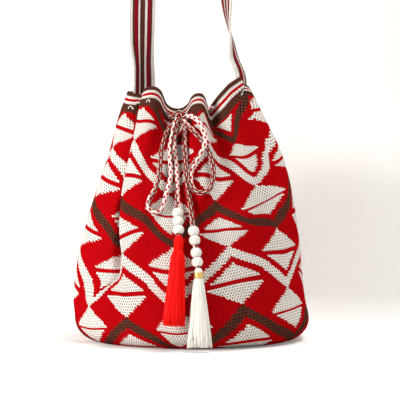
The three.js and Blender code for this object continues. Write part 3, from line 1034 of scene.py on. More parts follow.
@dataclass(frozen=True)
class SilkFinish(Finish):
    """Shining tassel thread in one colour."""

    group: bpy.types.NodeTree
    colour: Colour
    shade: Colour
    name: str = "silk_thread"
    roughness: float = 0.42
    shine: float = 0.08
    relief_depth: float = 0.0003
    relief_share: float = 0.5
    deep_tones: tuple[float, float] = (0.35, 0.7)
    deep_shade: float = 0.45
    furrow: tuple[float, float] = (0.4, 0.0)
    furrow_shade: float = 0.25
    rough_range: tuple[float, float] = (0.3, 0.26)

    def dress(self, bench: MaterialBench) -> None:
        """Lay threads side by side, some deeper in colour, with painted shade in the furrows between them.

        Args:
            bench: Bench of the material.
        """
        laid = bench.use_group(self.group, bench.strands())
        deep = bench.math("MULTIPLY", bench.step(laid["Tone"], *self.deep_tones), self.deep_shade)
        # Painted shade in the furrows between the threads.
        furrow = bench.math("MULTIPLY", bench.step(laid["Height"], *self.furrow), self.furrow_shade)
        dark = bench.math("ADD", deep, furrow, clamp=True)
        bench.give("Base Color", bench.mix(dark, self.colour, self.shade))
        bench.give("Roughness", bench.scaled(laid["Tone"], *self.rough_range))
        self.relief(bench, laid["Height"])


@dataclass(frozen=True)
class GoldFinish(Finish):
    """Thin gold-coloured metal band, lightly scuffed."""

    name: str = "gold_band"
    roughness: float = 0.3
    metallic: float = 1.0
    shine: float = 0.5
    relief_depth: float = 0.0002
    relief_share: float = 0.3
    scuff_scale: float = 320.0
    scuff_detail: float = 5.0
    scuff_shade: float = 0.5
    rough_range: tuple[float, float] = (0.3, 0.2)

    def dress(self, bench: MaterialBench) -> None:
        """Vary the metal's tone and shine.

        Args:
            bench: Bench of the material.
        """
        scuff = bench.noise(bench.place(), self.scuff_scale, self.scuff_detail)
        worn = bench.math("MULTIPLY", scuff, self.scuff_shade)
        bench.give("Base Color", bench.mix(worn, PALETTE.gold, PALETTE.gold_shade))
        bench.give("Roughness", bench.scaled(scuff, *self.rough_range))
        self.relief(bench, scuff)


@dataclass
class Finishes:
    """All finishes of the bag, built once."""

    crochet: bpy.types.Material = field(init=False)
    strap: bpy.types.Material = field(init=False)
    braid: bpy.types.Material = field(init=False)
    bead: bpy.types.Material = field(init=False)
    red_silk: bpy.types.Material = field(init=False)
    white_silk: bpy.types.Material = field(init=False)
    gold: bpy.types.Material = field(init=False)

    def __post_init__(self) -> None:
        """Build the node groups and the materials on them."""
        stitch, threads = CrochetStitch().group(), LaidThreads().group()
        red, white = PALETTE.silk_red, PALETTE.silk_white
        self.crochet = CrochetFinish(stitch, CHART.group()).build()
        self.strap = StrapFinish(stitch).build()
        self.braid = BraidFinish(RoundBraid().group()).build()
        self.bead = BeadFinish().build()
        self.red_silk = SilkFinish(threads, red, PALETTE.silk_red_shade, "red_silk").build()
        self.white_silk = SilkFinish(threads, white, PALETTE.silk_white_shade, "white_silk").build()
        self.gold = GoldFinish().build()


@dataclass
class StitchNet:
    """Where the stitches lie on the gathered bag.

    Each column of the pattern has rows of [level, place round the bag in degrees, rise in millimetres].
    """

    columns: dict[int, Sequence[Point]] = field(default_factory=lambda: {
        -120: [(-0.5, -87, -58), (0, -87, -25), (1, -86, 42), (2, -81, 109.5), (3, -77, 169.5),
               (4, -73, 229.5), (4.713, -63.5, 271), (5.2, -66, 297)],
        -105: [(-0.5, -72, -60), (0, -72, -28), (1.17, -69, 44), (1.5, -61, 68), (1.798, -55, 89),
               (2.367, -50.8, 122.5), (2.8, -48.5, 148), (3.294, -46.6, 177.5), (3.4, -47.4, 184),
               (3.736, -49.5, 214), (4.294, -46, 242), (4.4, -44.8, 247), (4.713, -39, 273),
               (5.2, -57.6, 297)],
        -90: [(-0.5, -57, -62), (0, -57, -32), (1.165, -55.2, 44.5), (1.34, -51.2, 54.5),
              (1.452, -47.1, 65.5), (1.6, -40.7, 75), (1.75, -37, 85), (2.067, -39, 101.5),
              (2.4, -40.2, 118), (3, -46.8, 163), (3.4, -47.4, 188), (3.736, -49.6, 215.5),
              (4.294, -46.7, 246), (4.713, -42, 273.5), (5.2, -51, 297)],
        -75: [(-0.5, -42, -61), (0, -42, -31), (1, -42.5, 37), (1.367, -41.2, 60), (1.5, -38.9, 70.5),
              (1.7, -35.6, 82), (2.067, -37.3, 103.5), (2.4, -39, 119), (3, -45.9, 167),
              (3.4, -47.8, 192), (3.736, -49.9, 217), (4.294, -47.5, 250), (4.713, -45, 274),
              (5.2, -44.5, 297)],
        -64: [(-0.5, -31, -60), (0, -31, -30), (1, -34, 36), (1.437, -33.9, 64.5), (1.8, -33.6, 85.5),
              (2, -34.8, 104.5), (2.4, -38.2, 121.5), (3, -45.2, 170), (3.367, -48, 194),
              (3.713, -50.2, 216.5), (4, -50.6, 236.5), (4.367, -48.6, 256.5), (4.713, -47.4, 275),
              (5.2, -40.5, 297)],
        -60: [(-0.5, -27, -60), (0, -27, -30), (1, -30.2, 35.5), (1.713, -31.8, 82.5), (2, -34.2, 105.5),
              (2.4, -37.4, 123), (3, -44.6, 169.5), (3.367, -47, 192.5), (3.713, -49.4, 214.5),
              (4, -50.2, 234), (4.367, -47.4, 253.5), (4.713, -42.9, 272), (5.2, -36, 297)],
        -45: [(-0.5, -12, -60), (0, -13, -29), (1.367, -18.3, 61.5), (1.67, -19, 84),
              (2.367, -23.5, 131.5), (2.67, -24.4, 150.5), (3.367, -32.8, 192.5), (3.67, -34.6, 212),
              (4.367, -28.9, 257), (5.2, -25, 297)],
        -30: [(-0.5, 3, -60), (0, 2, -28), (0.453, -5, -1), (0.8, -6, 21), (1.25, -7, 52),
              (2.165, -9, 114), (2.47, -11, 132), (3.25, -16, 184.5), (4.25, -13, 250), (5.2, -14, 297)],
        0: [(-0.5, 33, -55), (0, 32, -20), (0.713, 27, 28.5), (1, 25.3, 50.5), (1.713, 21.1, 96.5),
            (2, 19, 115.5), (2.713, 13.3, 150.5), (3, 10.8, 170.5), (4, 6.75, 239), (4.713, 3.25, 273.5),
            (5.2, 2, 297)],
        15: [(-0.5, 48, -54), (0, 47, -18), (0.367, 43.4, 6.5), (0.798, 41.1, 39), (1.367, 39.6, 77.5),
             (1.495, 38.6, 88), (1.67, 37.6, 99), (1.798, 36.6, 106.5), (2.367, 30, 132),
             (2.495, 29.8, 138.5), (2.67, 28.2, 146.5), (2.798, 26.2, 156), (3.367, 23.1, 192.5),
             (3.67, 22.3, 214), (3.798, 21, 221.5), (4.25, 16, 243.5), (4.798, 14.5, 269.5),
             (5.2, 13, 297)],
        30: [(-0.5, 63, -52), (0, 62.5, -16), (0.452, 58.5, 20), (1.165, 55.6, 65.5), (1.34, 55, 77),
             (1.452, 55.5, 84.5), (2.165, 49.5, 131), (2.34, 47, 139.5), (2.452, 43.5, 147),
             (2.8, 40, 162), (3.165, 36, 179.5), (3.34, 35.3, 189), (3.452, 35, 195), (3.8, 31, 216),
             (4.165, 26, 233.5), (4.34, 25.6, 242), (4.452, 25.2, 248.5), (4.7, 24, 263),
             (5.2, 24, 297)],
        45: [(-0.5, 79, -54), (0, 78, -19), (0.798, 71.5, 45.5), (1.798, 68.9, 111.5), (2.367, 68, 147),
             (2.798, 65.5, 177), (3.367, 58, 203), (3.495, 51.5, 206.5), (3.67, 44.5, 213.5),
             (3.798, 43, 221), (4.367, 38.7, 251.5), (4.798, 35, 274.5), (5.2, 40, 297)],
        60: [(-0.5, 97, -56), (0, 96, -22), (1, 89, 46), (2, 84, 121), (3, 80, 199), (3.4, 79.5, 216),
             (3.713, 79, 231), (3.825, 79, 240), (4, 77, 252.5), (4.437, 76, 273), (4.713, 69, 283.5),
             (5.2, 66, 297)],
    })

    def at(self, label: np.ndarray, level: np.ndarray) -> tuple[np.ndarray, np.ndarray]:
        """Find where stitches lie.

        Args:
            label: Degrees round the pattern.
            level: Levels up the pattern.

        Returns:
            Places round the bag in degrees, and rises in millimetres.
        """
        labels = np.array(sorted(self.columns), dtype=float)
        count = len(labels)
        known = np.stack([smooth_rows(self.columns[int(name)], level) for name in labels])
        turned = labels[0] + np.mod(label - labels[0], 360.0)
        here = np.searchsorted(labels, turned, side="right") - 1
        stitch = np.arange(len(label))

        def column(index: np.ndarray) -> tuple[np.ndarray, np.ndarray]:
            """Read a column, counted on round the bag.

            Args:
                index: Number of the column for each stitch.

            Returns:
                Its label, and its place and rise.
            """
            turns = np.floor_divide(index, count)
            values = known[index - turns * count, stitch].copy()
            values[:, 0] += 360.0 * turns
            return (labels[index - turns * count] + 360.0 * turns)[:, None], values

        (ka, a), (kb, b), (kc, c), (kd, d) = (column(here + step) for step in (-1, 0, 1, 2))
        span = kc - kb
        most = 3 * np.abs(c - b)
        way = np.sign(c - b)
        start = way * np.clip(way * (c - a) / (kc - ka) * span, 0, most)
        end = way * np.clip(way * (d - b) / (kd - kb) * span, 0, most)
        found = hermite(b, start, c, end, (turned[:, None] - kb) / span)
        return found[:, 0], found[:, 1]


@dataclass
class BagBody:
    """Crocheted tube with a round base, gathered into folds at the mouth. Sizes in millimetres.

    Attributes:
        fold_share: Rows of label, and share of the way to the rim's own place that the stitches take.
        slit: Rows of level, left label, right label and depth of the tuck beside the left fold.
        slit_shoulders: Share of the depth, and width in degrees, of the slope on each side of the tuck.
        sway: Rows of share of the height and shift to the right.
        rim_folds: Rows of place, swing in degrees, step out and rise.
        creases: Rows of place at the top, place below, share of the height below, depth and half width.
    """

    base_radius: float = 140.0
    corner_radius: float = 26.0
    mouth_tube_radius: float = 133.0
    rim_height: float = 297.0
    wall: float = 3.0
    gather_power: float = 2.32
    drawn_radius: float = 60.0
    columns: int = 330
    wall_rows: int = 128
    base_rows: int = 8
    eyelet: float = 3.4
    fold_share: Sequence[tuple[float, float]] = (
        (-180, 0), (-120, 0), (-106, 1), (-44, 1), (-30, 0), (180, 0),
    )
    slit: Sequence[tuple[float, float, float, float]] = (
        (1.4, -87, -85, 0), (1.6, -90, -74, 4), (1.8, -93, -67, 9), (2.2, -95, -63, 18), (3.3, -104, -63, 24),
        (4.3, -105, -64, 22), (4.8, -105, -65, 8), (5.2, -105, -66, 0),
    )
    slit_least: float = 0.5
    slit_shoulders: tuple[tuple[float, float], tuple[float, float]] = ((0.3, 8.0), (0.16, 2.5))
    sway: Sequence[tuple[float, float]] = (
        (0, 1.5), (0.09, 1), (0.16, -2), (0.22, -2.5), (0.3, -2), (0.43, 0.5), (0.56, 3.7), (0.69, 6.3),
        (0.77, 6), (0.9, 2), (1, 0),
    )
    rim_folds: Sequence[tuple[float, float, float, float]] = (
        (-38, -1.1, 23.7, -3.8), (-35, 0.4, 24.5, -2.1), (-32, 1.2, 22.6, -1.9), (-29.5, 1.7, 19.7, -3.6),
        (-27, 0.6, 13.7, -8.1), (-25, -2.7, 5.5, -13.8), (-22.5, -7, -2.6, -19), (-19.5, -8.4, -8.5, -22.9),
        (-15.5, -5.4, -13.4, -25.3), (-12, 0.1, -14, -24.2), (-9, 4.7, -9.4, -20.4), (-7, 5.8, -3, -16.6),
        (-5, 6, 4, -13), (-2.5, 6.8, 10.2, -10.4), (0.5, 7.3, 13.2, -9.8), (3.5, 7.7, 12.4, -11),
        (6, 8.4, 7.6, -14.3), (8.5, 9.1, 0.9, -18.4), (11, 10.7, -6.2, -22.3), (14, 11.3, -9.1, -23.8),
        (17, 9.4, -5.9, -20.5), (20, 6.5, 2, -16), (24, 3.6, 9.4, -10.7), (28, 2.3, 12.2, -6), (36, 2, 13, 3),
        (47, 7, 12, 12), (57, 8, 1, 8), (68, 9, 9, 4), (90, 7, 10, 1.5), (101, 7, 8, 0), (112, 5, -10, -2),
        (127, 3, 15, -2), (137, 5, 11, -8), (149, 3, -10, -17), (163, 2, 15, -15), (172, 2, 11, -18),
        (184, -1, -11, -22), (198, -2, 15, -19), (207, -1, 11, -20), (219, -3, -10, -19), (232, -3, 15, -7),
        (241, -3, 9, -4), (251, -4, -10, -3), (267, -1, 13, -1), (282, 1, 16, -3), (300, 0, 16, -7),
        (309, -2, -7, -12), (316, -4.1, 14.9, -10.8), (319, -2.8, 20.4, -6.8),
    )
    creases: Sequence[tuple[float, float, float, float, float]] = (
        (-16, -4, 0.34, 9, 10), (16, 22, 0.5, 7, 7), (64, 60, 0.5, 5, 9),
    )
    net: StitchNet = field(default_factory=StitchNet)

    def rim(self, place: np.ndarray) -> np.ndarray:
        """Follow the folds of the rim.

        Args:
            place: Degrees round the bag.

        Returns:
            Points in millimetres.
        """
        swing, out, rise = smooth_rows(self.rim_folds, place, 360.0).T
        bearing = np.radians(place + swing)
        radius = self.drawn_radius + out
        x, y = radius * np.sin(bearing), -radius * np.cos(bearing)
        return np.stack([x, y, self.rim_height + rise], axis=1)

    def crease(self, place: np.ndarray, share: np.ndarray) -> np.ndarray:
        """Find the depth of the long creases.

        Args:
            place: Degrees round the bag.
            share: Shares of the height.

        Returns:
            Depths in millimetres.
        """
        depth = np.zeros_like(place)
        for top, low, fade, deepest, half_width in self.creases:
            along = np.clip((share - fade) / (1 - fade), 0, 1)
            off = half_turn(place - low - (top - low) * along) / half_width
            depth += deepest * np.exp(-off * off) * np.sin(np.pi * along)
        return depth

    def base_edge(self) -> float:
        """Way up the skin, in millimetres, where the flat base turns into the corner."""
        return self.corner_radius * (1 - 0.5 * math.pi)

    def profile(self, rise: np.ndarray) -> tuple[np.ndarray, np.ndarray]:
        """Radius and height of the plain tube.

        Args:
            rise: Way up the skin, which is the height on the wall and runs on under the base.

        Returns:
            Radii and heights in millimetres.
        """
        flat = self.base_radius - self.corner_radius
        start = self.base_edge()
        turn = np.clip((rise - start) / self.corner_radius, 0, 0.5 * math.pi)
        share = np.clip((rise - self.corner_radius) / (self.rim_height - self.corner_radius), 0, 1)
        radius = np.where(rise < start, flat + rise - start, flat + self.corner_radius * np.sin(turn))
        radius = np.maximum(radius, 0) + (self.mouth_tube_radius - self.base_radius) * share
        height = np.where(rise > self.corner_radius, rise, self.corner_radius * (1 - np.cos(turn)))
        return radius, height

    def skin(
        self, place: np.ndarray, rim_place: np.ndarray, rise: np.ndarray, tuck: np.ndarray
    ) -> np.ndarray:
        """Points of the outer skin in metres.

        Args:
            place: Degrees round the bag from the front.
            rim_place: Degrees round the rim that the same stitches are drawn to.
            rise: Way up the skin in millimetres.
            tuck: Depth that the skin is tucked in by.

        Returns:
            One point for each place.
        """
        radius, height = self.profile(rise)
        share = height / self.rim_height
        pull = share**self.gather_power
        rim = self.rim(rim_place)
        drawn = radius - self.crease(place, share)
        sway = smooth_rows(self.sway, share)[:, 0] * np.minimum(1, radius / self.base_radius)
        angle = np.radians(place)
        x = (1 - pull) * drawn * np.sin(angle) + pull * rim[:, 0] + sway - tuck * np.sin(angle)
        y = -(1 - pull) * drawn * np.cos(angle) + pull * rim[:, 1] + tuck * np.cos(angle)
        z = height + (rim[:, 2] - self.rim_height) * pull
        return np.stack([x, y, z], axis=1) * MM

    def tuck(self, label: np.ndarray, level: np.ndarray) -> np.ndarray:
        """Find the depth of the tuck beside the left fold.

        Args:
            label: Degrees round the pattern.
            level: Levels up the pattern.

        Returns:
            Depths in millimetres.
        """
        left, right, depth = smooth_rows(self.slit, level).T
        turned = half_turn(label)
        half_width = np.maximum(0.5 * (right - left), self.slit_least)
        inside = np.clip((turned - left) * (right - turned), 0, None) / half_width**2
        (low_left, wide_left), (low_right, wide_right) = self.slit_shoulders
        before = low_left * np.exp(-np.clip(left - turned, 0, None) / wide_left)
        after = low_right * np.exp(-np.clip(turned - right, 0, None) / wide_right)
        beside = np.where(turned < 0.5 * (left + right), before, after)
        return np.clip(depth, 0, None) * (np.sqrt(inside) + beside)

    def form(self, u: np.ndarray, v: np.ndarray) -> np.ndarray:
        """Lay the crochet on the bag.

        Args:
            u: Shares of the way round.
            v: Shares of the way from the middle of the base to the rim.

        Returns:
            Points in metres.
        """
        label = CHART.first_label + 360.0 * u
        rows = v * (self.base_rows + self.wall_rows)
        share = np.clip((rows - self.base_rows) / self.wall_rows, 0, 1)
        level = CHART.first_level + share * (CHART.rim_level - CHART.first_level)
        place, rise = self.net.at(label, level)
        rim_place, _ = self.net.at(label, np.full_like(level, CHART.rim_level))
        own = smooth_rows(self.fold_share, half_turn(label))[:, 0]
        rim_place = place + own * (rim_place - place)
        centre = self.base_edge() - (self.base_radius - self.corner_radius)
        out = np.clip(rows / self.base_rows, 0, 1)
        return self.skin(place, rim_place, centre + (rise - centre) * out, self.tuck(label, level))

    def count_stitches(self, mesh: bmesh.types.BMesh) -> None:
        """Turn the UV map from shares of the grid to stitches and rounds.

        Args:
            mesh: The crochet.
        """
        layer = mesh.loops.layers.uv["strands"]
        rows = self.base_rows + self.wall_rows
        for face in mesh.faces:
            for loop in face.loops:
                uv = loop[layer].uv
                row = uv.y * rows
                low, high = min(row, self.base_rows), max(row - self.base_rows, 0)
                uv.y = low * CHART.base_rounds / self.base_rows + high * CHART.rounds / self.wall_rows

    def build(self, material: bpy.types.Material, drawstring: np.ndarray) -> bpy.types.Object:
        """Crochet the body.

        Args:
            material: The crochet finish.
            drawstring: Line of the drawstring, which the eyelets are left open for.

        Returns:
            The body with its wall's thickness.
        """
        mesh = formed_grid(self.columns, self.base_rows + self.wall_rows, self.form, (360.0, 1.0))
        bmesh.ops.recalc_face_normals(mesh, faces=mesh.faces)
        self.count_stitches(mesh)
        centres = np.array([face.calc_center_median() for face in mesh.faces])
        gaps = np.full(len(centres), np.inf)
        for point in drawstring:
            gaps = np.minimum(gaps, np.linalg.norm(centres - point, axis=1))
        mesh.faces.ensure_lookup_table()
        cut = [mesh.faces[index] for index in np.flatnonzero(gaps < self.eyelet * MM)]
        bmesh.ops.delete(mesh, geom=cut, context="FACES")
        piece = finished(mesh, "crocheted_body", material)
        wall = piece.modifiers.new("wall", "SOLIDIFY")
        wall.thickness = self.wall * MM
        wall.offset = -1.0
        stand_for(piece, Body.BAG, "bag_body")
        return piece


def turned(profile: Sequence[tuple[float, float]], sides: int, wound: bool = False) -> bmesh.types.BMesh:
    """Turn a closed or pole-to-pole profile round the Z axis.

    Args:
        profile: Rows of radius and height in millimetres.
        sides: Faces round the axis.
        wound: Whether threads run round the piece and not along it.

    Returns:
        The turned mesh, with a UV map in millimetres across its threads.
    """
    rows = np.asarray(profile, dtype=float) * MM
    count = len(rows) - 1
    length = length_of(rows) / MM
    girth = 2 * math.pi * float(rows[:, 0].max()) / MM

    def form(u: np.ndarray, v: np.ndarray) -> np.ndarray:
        """Place the grid on the turned shape.

        Args:
            u: Shares across the threads.
            v: Shares along the threads.

        Returns:
            Points in metres.
        """
        along, round_share = (u, v) if wound else (v, u)
        at = np.rint(along * count).astype(int)
        angle = 2 * math.pi * round_share
        return np.stack([rows[at, 0] * np.cos(angle), rows[at, 0] * np.sin(angle), rows[at, 1]], axis=1)

    if wound:
        mesh = formed_grid(count, sides, form, (length, girth))
    else:
        mesh = formed_grid(sides, count, form, (round(girth), length))
    bmesh.ops.recalc_face_normals(mesh, faces=mesh.faces)
    return mesh


@dataclass
class Hang:
    """Straight hanging end of a cord, with its beads and the tassel's pivot. Lengths in millimetres.

    Attributes:
        start: Where the straight end starts.
        towards: Point that it hangs towards.
        pivot: How far along it the tassel swings.
        cord_end: How far along it the cord ends.
        bead_middles: How far along it each bead lies, by the names of their solids.
    """

    start: Point
    towards: Point
    pivot: float
    cord_end: float
    bead_middles: dict[str, float]
    first_step: float = 5.0
    bead_diameter: float = 12.5
    bead_length: float = 10.0
    bead_rim: float = 0.5
    bead_soft: tuple[float, float] = (0.15, 0.12)
    bead_steps: int = 19
    bead_sides: int = 40
    bore_radius: float = 3.15

    def way(self) -> Vector:
        """Direction that the end hangs in."""
        return (Vector(self.towards) - Vector(self.start)).normalized()

    def at(self, along: float) -> Point:
        """Point at a distance along the end."""
        return tuple(Vector(self.start) + self.way() * along)

    def points(self) -> list[Point]:
        """Points of the cord through the beads."""
        return [self.at(along) for along in (0.0, self.first_step, 0.5 * self.cord_end, self.cord_end)]

    def bead_profile(self) -> list[tuple[float, float]]:
        """Draw a bead: bulging outside, softened rims and a straight bore.

        Returns:
            Closed profile of radii and heights.
        """
        radius, half = 0.5 * self.bead_diameter, 0.5 * self.bead_length
        bore, (soft, low) = self.bore_radius, self.bead_soft
        edge = math.acos((bore + self.bead_rim) / radius)
        outside = [
            (radius * math.cos(turn), half * math.sin(turn) / math.sin(edge))
            for turn in np.linspace(-edge, edge, self.bead_steps)
        ]
        top = [(bore + soft, half - low), (bore, half - self.bead_rim)]
        bottom = [(out, -height) for out, height in reversed(top)]
        return [*outside, *top, *bottom, outside[0]]

    def beads(self, material: bpy.types.Material) -> list[bpy.types.Object]:
        """Thread the beads on the cord.

        Args:
            material: The bead finish.

        Returns:
            The beads.
        """
        turn = self.way().to_track_quat("Z", "Y").to_matrix().to_4x4()
        pieces = []
        for name, middle in self.bead_middles.items():
            mesh = turned(self.bead_profile(), self.bead_sides)
            place = Matrix.Translation(Vector(self.at(middle)) * MM) @ turn
            bmesh.ops.transform(mesh, matrix=place, verts=mesh.verts)
            piece = finished(mesh, f"{name}_painted", material)
            stand_for(piece, Body.BAG, name)
            pieces.append(piece)
        return pieces


@dataclass
class Tassel:
    """Tassel of loose threads under a bound head. Lengths in millimetres from its pivot.

    Attributes:
        nodes: Solids of the skirt and the binding.
        slots: Finish slots of the two. Not used.
        turns: Turns of thread in the binding, or 0 for a smooth metal band.
        forward: Degrees that it leans forward by.
        lean: Degrees that it leans sideways by.
        seed: Start of its random draws.
    """

    name: str
    body: Body
    hang: Hang
    nodes: tuple[str, str]
    slots: tuple[str, str]
    turns: int
    binding_length: float
    shoulder_radius: float
    hem_half_width: float
    length: float
    forward: float
    lean: float
    seed: int
    hem_half_depth: float = 7.5
    binding_radius: float = 5.5
    binding_fit: float = 0.1
    binding_swell: float = 0.35
    binding_gap: float = 0.5
    band_rows: int = 24
    band_roundness: float = 0.4
    turn_rows: int = 8
    neck_radius: float = 4.6
    shoulder_drop: float = 7.0
    sides: int = 48
    dome_steps: int = 8
    core_rows: int = 14
    core_share: float = 0.86
    core_gap: float = 12.0
    strands: int = 360
    strand_radius: float = 0.5
    strand_sides: int = 5
    strand_steps: int = 16
    tone_start: float = 0.35
    tone_step: float = 3.7
    tucked: float = 1.0
    inner_share: float = 0.3
    outer_power: float = 0.35
    ragged: float = 11.0
    ragged_power: float = 1.6
    sway: float = 1.6
    sway_turn: float = 0.05
    sway_shift: float = 0.6
    ripple: float = 0.5
    ripple_rate: float = 5.0

    def place(self) -> Matrix:
        """Find where the tassel hangs and how it leans.

        Returns:
            Its matrix.
        """
        pivot = Matrix.Translation(Vector(self.hang.at(self.hang.pivot)) * MM)
        forward = Matrix.Rotation(math.radians(-self.forward), 4, "X")
        return pivot @ forward @ Matrix.Rotation(math.radians(self.lean), 4, "Y")

    def half_sizes(self, drop: float) -> tuple[float, float]:
        """Find how wide and deep the skirt is.

        Args:
            drop: Distance below the pivot.

        Returns:
            Half of its width and half of its depth.
        """
        neck, shoulder = self.binding_length, self.binding_length + self.shoulder_drop
        if drop < shoulder:
            share = eased(min(1.0, max(0.0, (drop - neck) / self.shoulder_drop)))
            radius = self.neck_radius + (self.shoulder_radius - self.neck_radius) * share
            return radius, radius
        share = (drop - shoulder) / (self.length - shoulder)
        width = self.shoulder_radius + (self.hem_half_width - self.shoulder_radius) * share
        return width, self.shoulder_radius + (self.hem_half_depth - self.shoulder_radius) * share

    def core(self) -> bmesh.types.BMesh:
        """Make the inner threads, from the dome of the head to just above the hem.

        Returns:
            The core's mesh.
        """
        dome = [
            (self.neck_radius * math.cos(turn), self.neck_radius * math.sin(turn))
            for turn in np.linspace(0.5 * math.pi, 0.0, self.dome_steps)
        ]
        drops = np.linspace(self.binding_length, self.length - self.core_gap, self.core_rows)
        skirt = [(self.core_share * self.half_sizes(drop)[0], -drop) for drop in drops]
        skirt[0] = (self.neck_radius, -self.binding_length)
        mesh = turned([*dome, *skirt, (0.0, skirt[-1][1])], self.sides)
        for vert in mesh.verts:
            width, depth = self.half_sizes(-vert.co.z / MM)
            vert.co.y *= depth / width
        return mesh

    def skirt(self, material: bpy.types.Material) -> bpy.types.Object:
        """Hang the threads of the skirt round its core.

        Args:
            material: The thread finish.

        Returns:
            The skirt.
        """
        chance = random.Random(self.seed)
        mesh = self.core()
        layer = mesh.loops.layers.uv["strands"]
        owner = mesh.verts.layers.int.new("strand")
        paths = []
        edges = []
        for index in range(self.strands):
            path = self.strand_path(chance)
            paths.append(path)
            ring = bmesh.ops.create_circle(
                mesh, segments=self.strand_sides, radius=self.strand_radius * MM,
                matrix=Matrix.Translation(path[0]),
            )["verts"]
            for vert in ring:
                vert[owner] = index
            edges.extend({edge for vert in ring for edge in vert.link_edges})
        for step in range(1, self.strand_steps + 1):
            grown = bmesh.ops.extrude_edge_only(mesh, edges=edges)["geom"]
            for vert in grown:
                if isinstance(vert, bmesh.types.BMVert):
                    path = paths[vert[owner]]
                    vert.co += path[step] - path[step - 1]
            edges = [edge for edge in grown if isinstance(edge, bmesh.types.BMEdge)]
            edges = [edge for edge in edges if len(edge.link_faces) == 1]
            for face in grown:
                if isinstance(face, bmesh.types.BMFace):
                    for loop in face.loops:
                        tone = self.tone_start + self.tone_step * loop.vert[owner]
                        loop[layer].uv = (tone, -loop.vert.co.z / MM)
        close_ends(mesh)
        bmesh.ops.transform(mesh, matrix=self.place(), verts=mesh.verts)
        return finished(mesh, f"{self.name}_threads", material)

    def strand_path(self, chance: random.Random) -> list[Vector]:
        """Draw the line of one thread from the binding to the hem.

        Args:
            chance: The tassel's random draws.

        Returns:
            Points in metres.
        """
        angle = chance.uniform(0.0, 2 * math.pi)
        share = self.inner_share + (1 - self.inner_share) * chance.random() ** self.outer_power
        end = self.length - self.ragged * chance.random() ** self.ragged_power
        sway = chance.uniform(-self.sway, self.sway)
        wave = chance.uniform(0.0, 2 * math.pi)
        points = []
        for step in range(self.strand_steps + 1):
            along = step / self.strand_steps
            drop = self.binding_length - self.tucked + (end - self.binding_length + self.tucked) * along
            width, depth = self.half_sizes(drop)
            turn = angle + self.sway_turn * sway * along
            ripple = self.ripple * along * math.sin(wave + self.ripple_rate * along)
            shift = sway * along * along * self.sway_shift
            points.append(Vector((
                (width * share - self.strand_radius) * math.cos(turn) + ripple + shift,
                (depth * share - self.strand_radius) * math.sin(turn) + ripple,
                -drop,
            )) * MM)
        return points

    def binding(self, material: bpy.types.Material) -> bpy.types.Object:
        """Bind the head.

        Args:
            material: Finish of the thread or the metal.

        Returns:
            The binding.
        """
        bore, low, top = self.neck_radius + self.binding_fit, self.binding_length, self.binding_gap
        rows = max(self.band_rows, self.turn_rows * self.turns)
        outside = []
        for row in range(rows + 1):
            share = row / rows
            if self.turns:
                swell = abs(math.sin(math.pi * share * self.turns))
            else:
                swell = math.sin(math.pi * share) ** self.band_roundness
            radius = self.binding_radius - self.binding_swell + self.binding_swell * swell
            outside.append((radius, -low + (low - top) * share))
        mesh = turned([(bore, -low), *outside, (bore, -top), (bore, -low)], self.sides, wound=True)
        bmesh.ops.transform(mesh, matrix=self.place(), verts=mesh.verts)
        return finished(mesh, f"{self.name}_head", material)

    def build(self, threads: bpy.types.Material, head: bpy.types.Material) -> list[bpy.types.Object]:
        """Make the tassel and let it swing.

        Args:
            threads: Finish of the skirt.
            head: Finish of the binding.

        Returns:
            The skirt and the binding.
        """
        pieces = [self.skirt(threads), self.binding(head)]
        for piece, node, slot in zip(pieces, self.nodes, self.slots):
            stand_for(piece, self.body, node)
        return pieces


RED_HANG = Hang(
    start=(-14.3, -114.5, 165), towards=(-12, -138, 117), pivot=47.7, cord_end=42.8,
    bead_middles={"red_bead_top": 16.0, "red_bead_middle": 26.3, "red_bead_bottom": 36.6},
)
WHITE_HANG = Hang(
    start=(2.4, -130, 142), towards=(9, -143.2, 88), pivot=57.1, cord_end=52.2,
    bead_middles={"white_bead_1": 11.4, "white_bead_2": 21.7, "white_bead_3": 35.7, "white_bead_4": 46.0},
)
RED_TASSEL = Tassel(
    name="red_tassel", body=Body.RED_TASSEL, hang=RED_HANG, turns=12,
    nodes=("red_tassel_skirt", "red_tassel_binding"), slots=("red_thread", "red_thread"),
    binding_length=12.0, shoulder_radius=8.0, hem_half_width=12.4, length=95.0,
    forward=10.0, lean=3.2, seed=11,
)
WHITE_TASSEL = Tassel(
    name="white_tassel", body=Body.WHITE_TASSEL, hang=WHITE_HANG, turns=0,
    nodes=("white_tassel_skirt", "white_tassel_band"), slots=("white_thread", "gold_band"),
    binding_length=7.0, shoulder_radius=6.5, hem_half_width=13.8, length=82.0,
    forward=6.0, lean=-0.8, seed=23,
)


@dataclass
class Stretch:
    """One stretch of cord.

    Attributes:
        name: Its name, which is its solid's name too.
        route: Its route.
        far_end: What its far end goes into. Not used.
        lay: How it lies. Not used.
        turned_by: Share of a turn that its braid is turned by.
        carries: Pieces on the cord. Not used.
    """

    name: str
    route: Route
    far_end: FarEnd
    lay: Lay
    turned_by: float
    carries: Sequence[bpy.types.Object] = ()


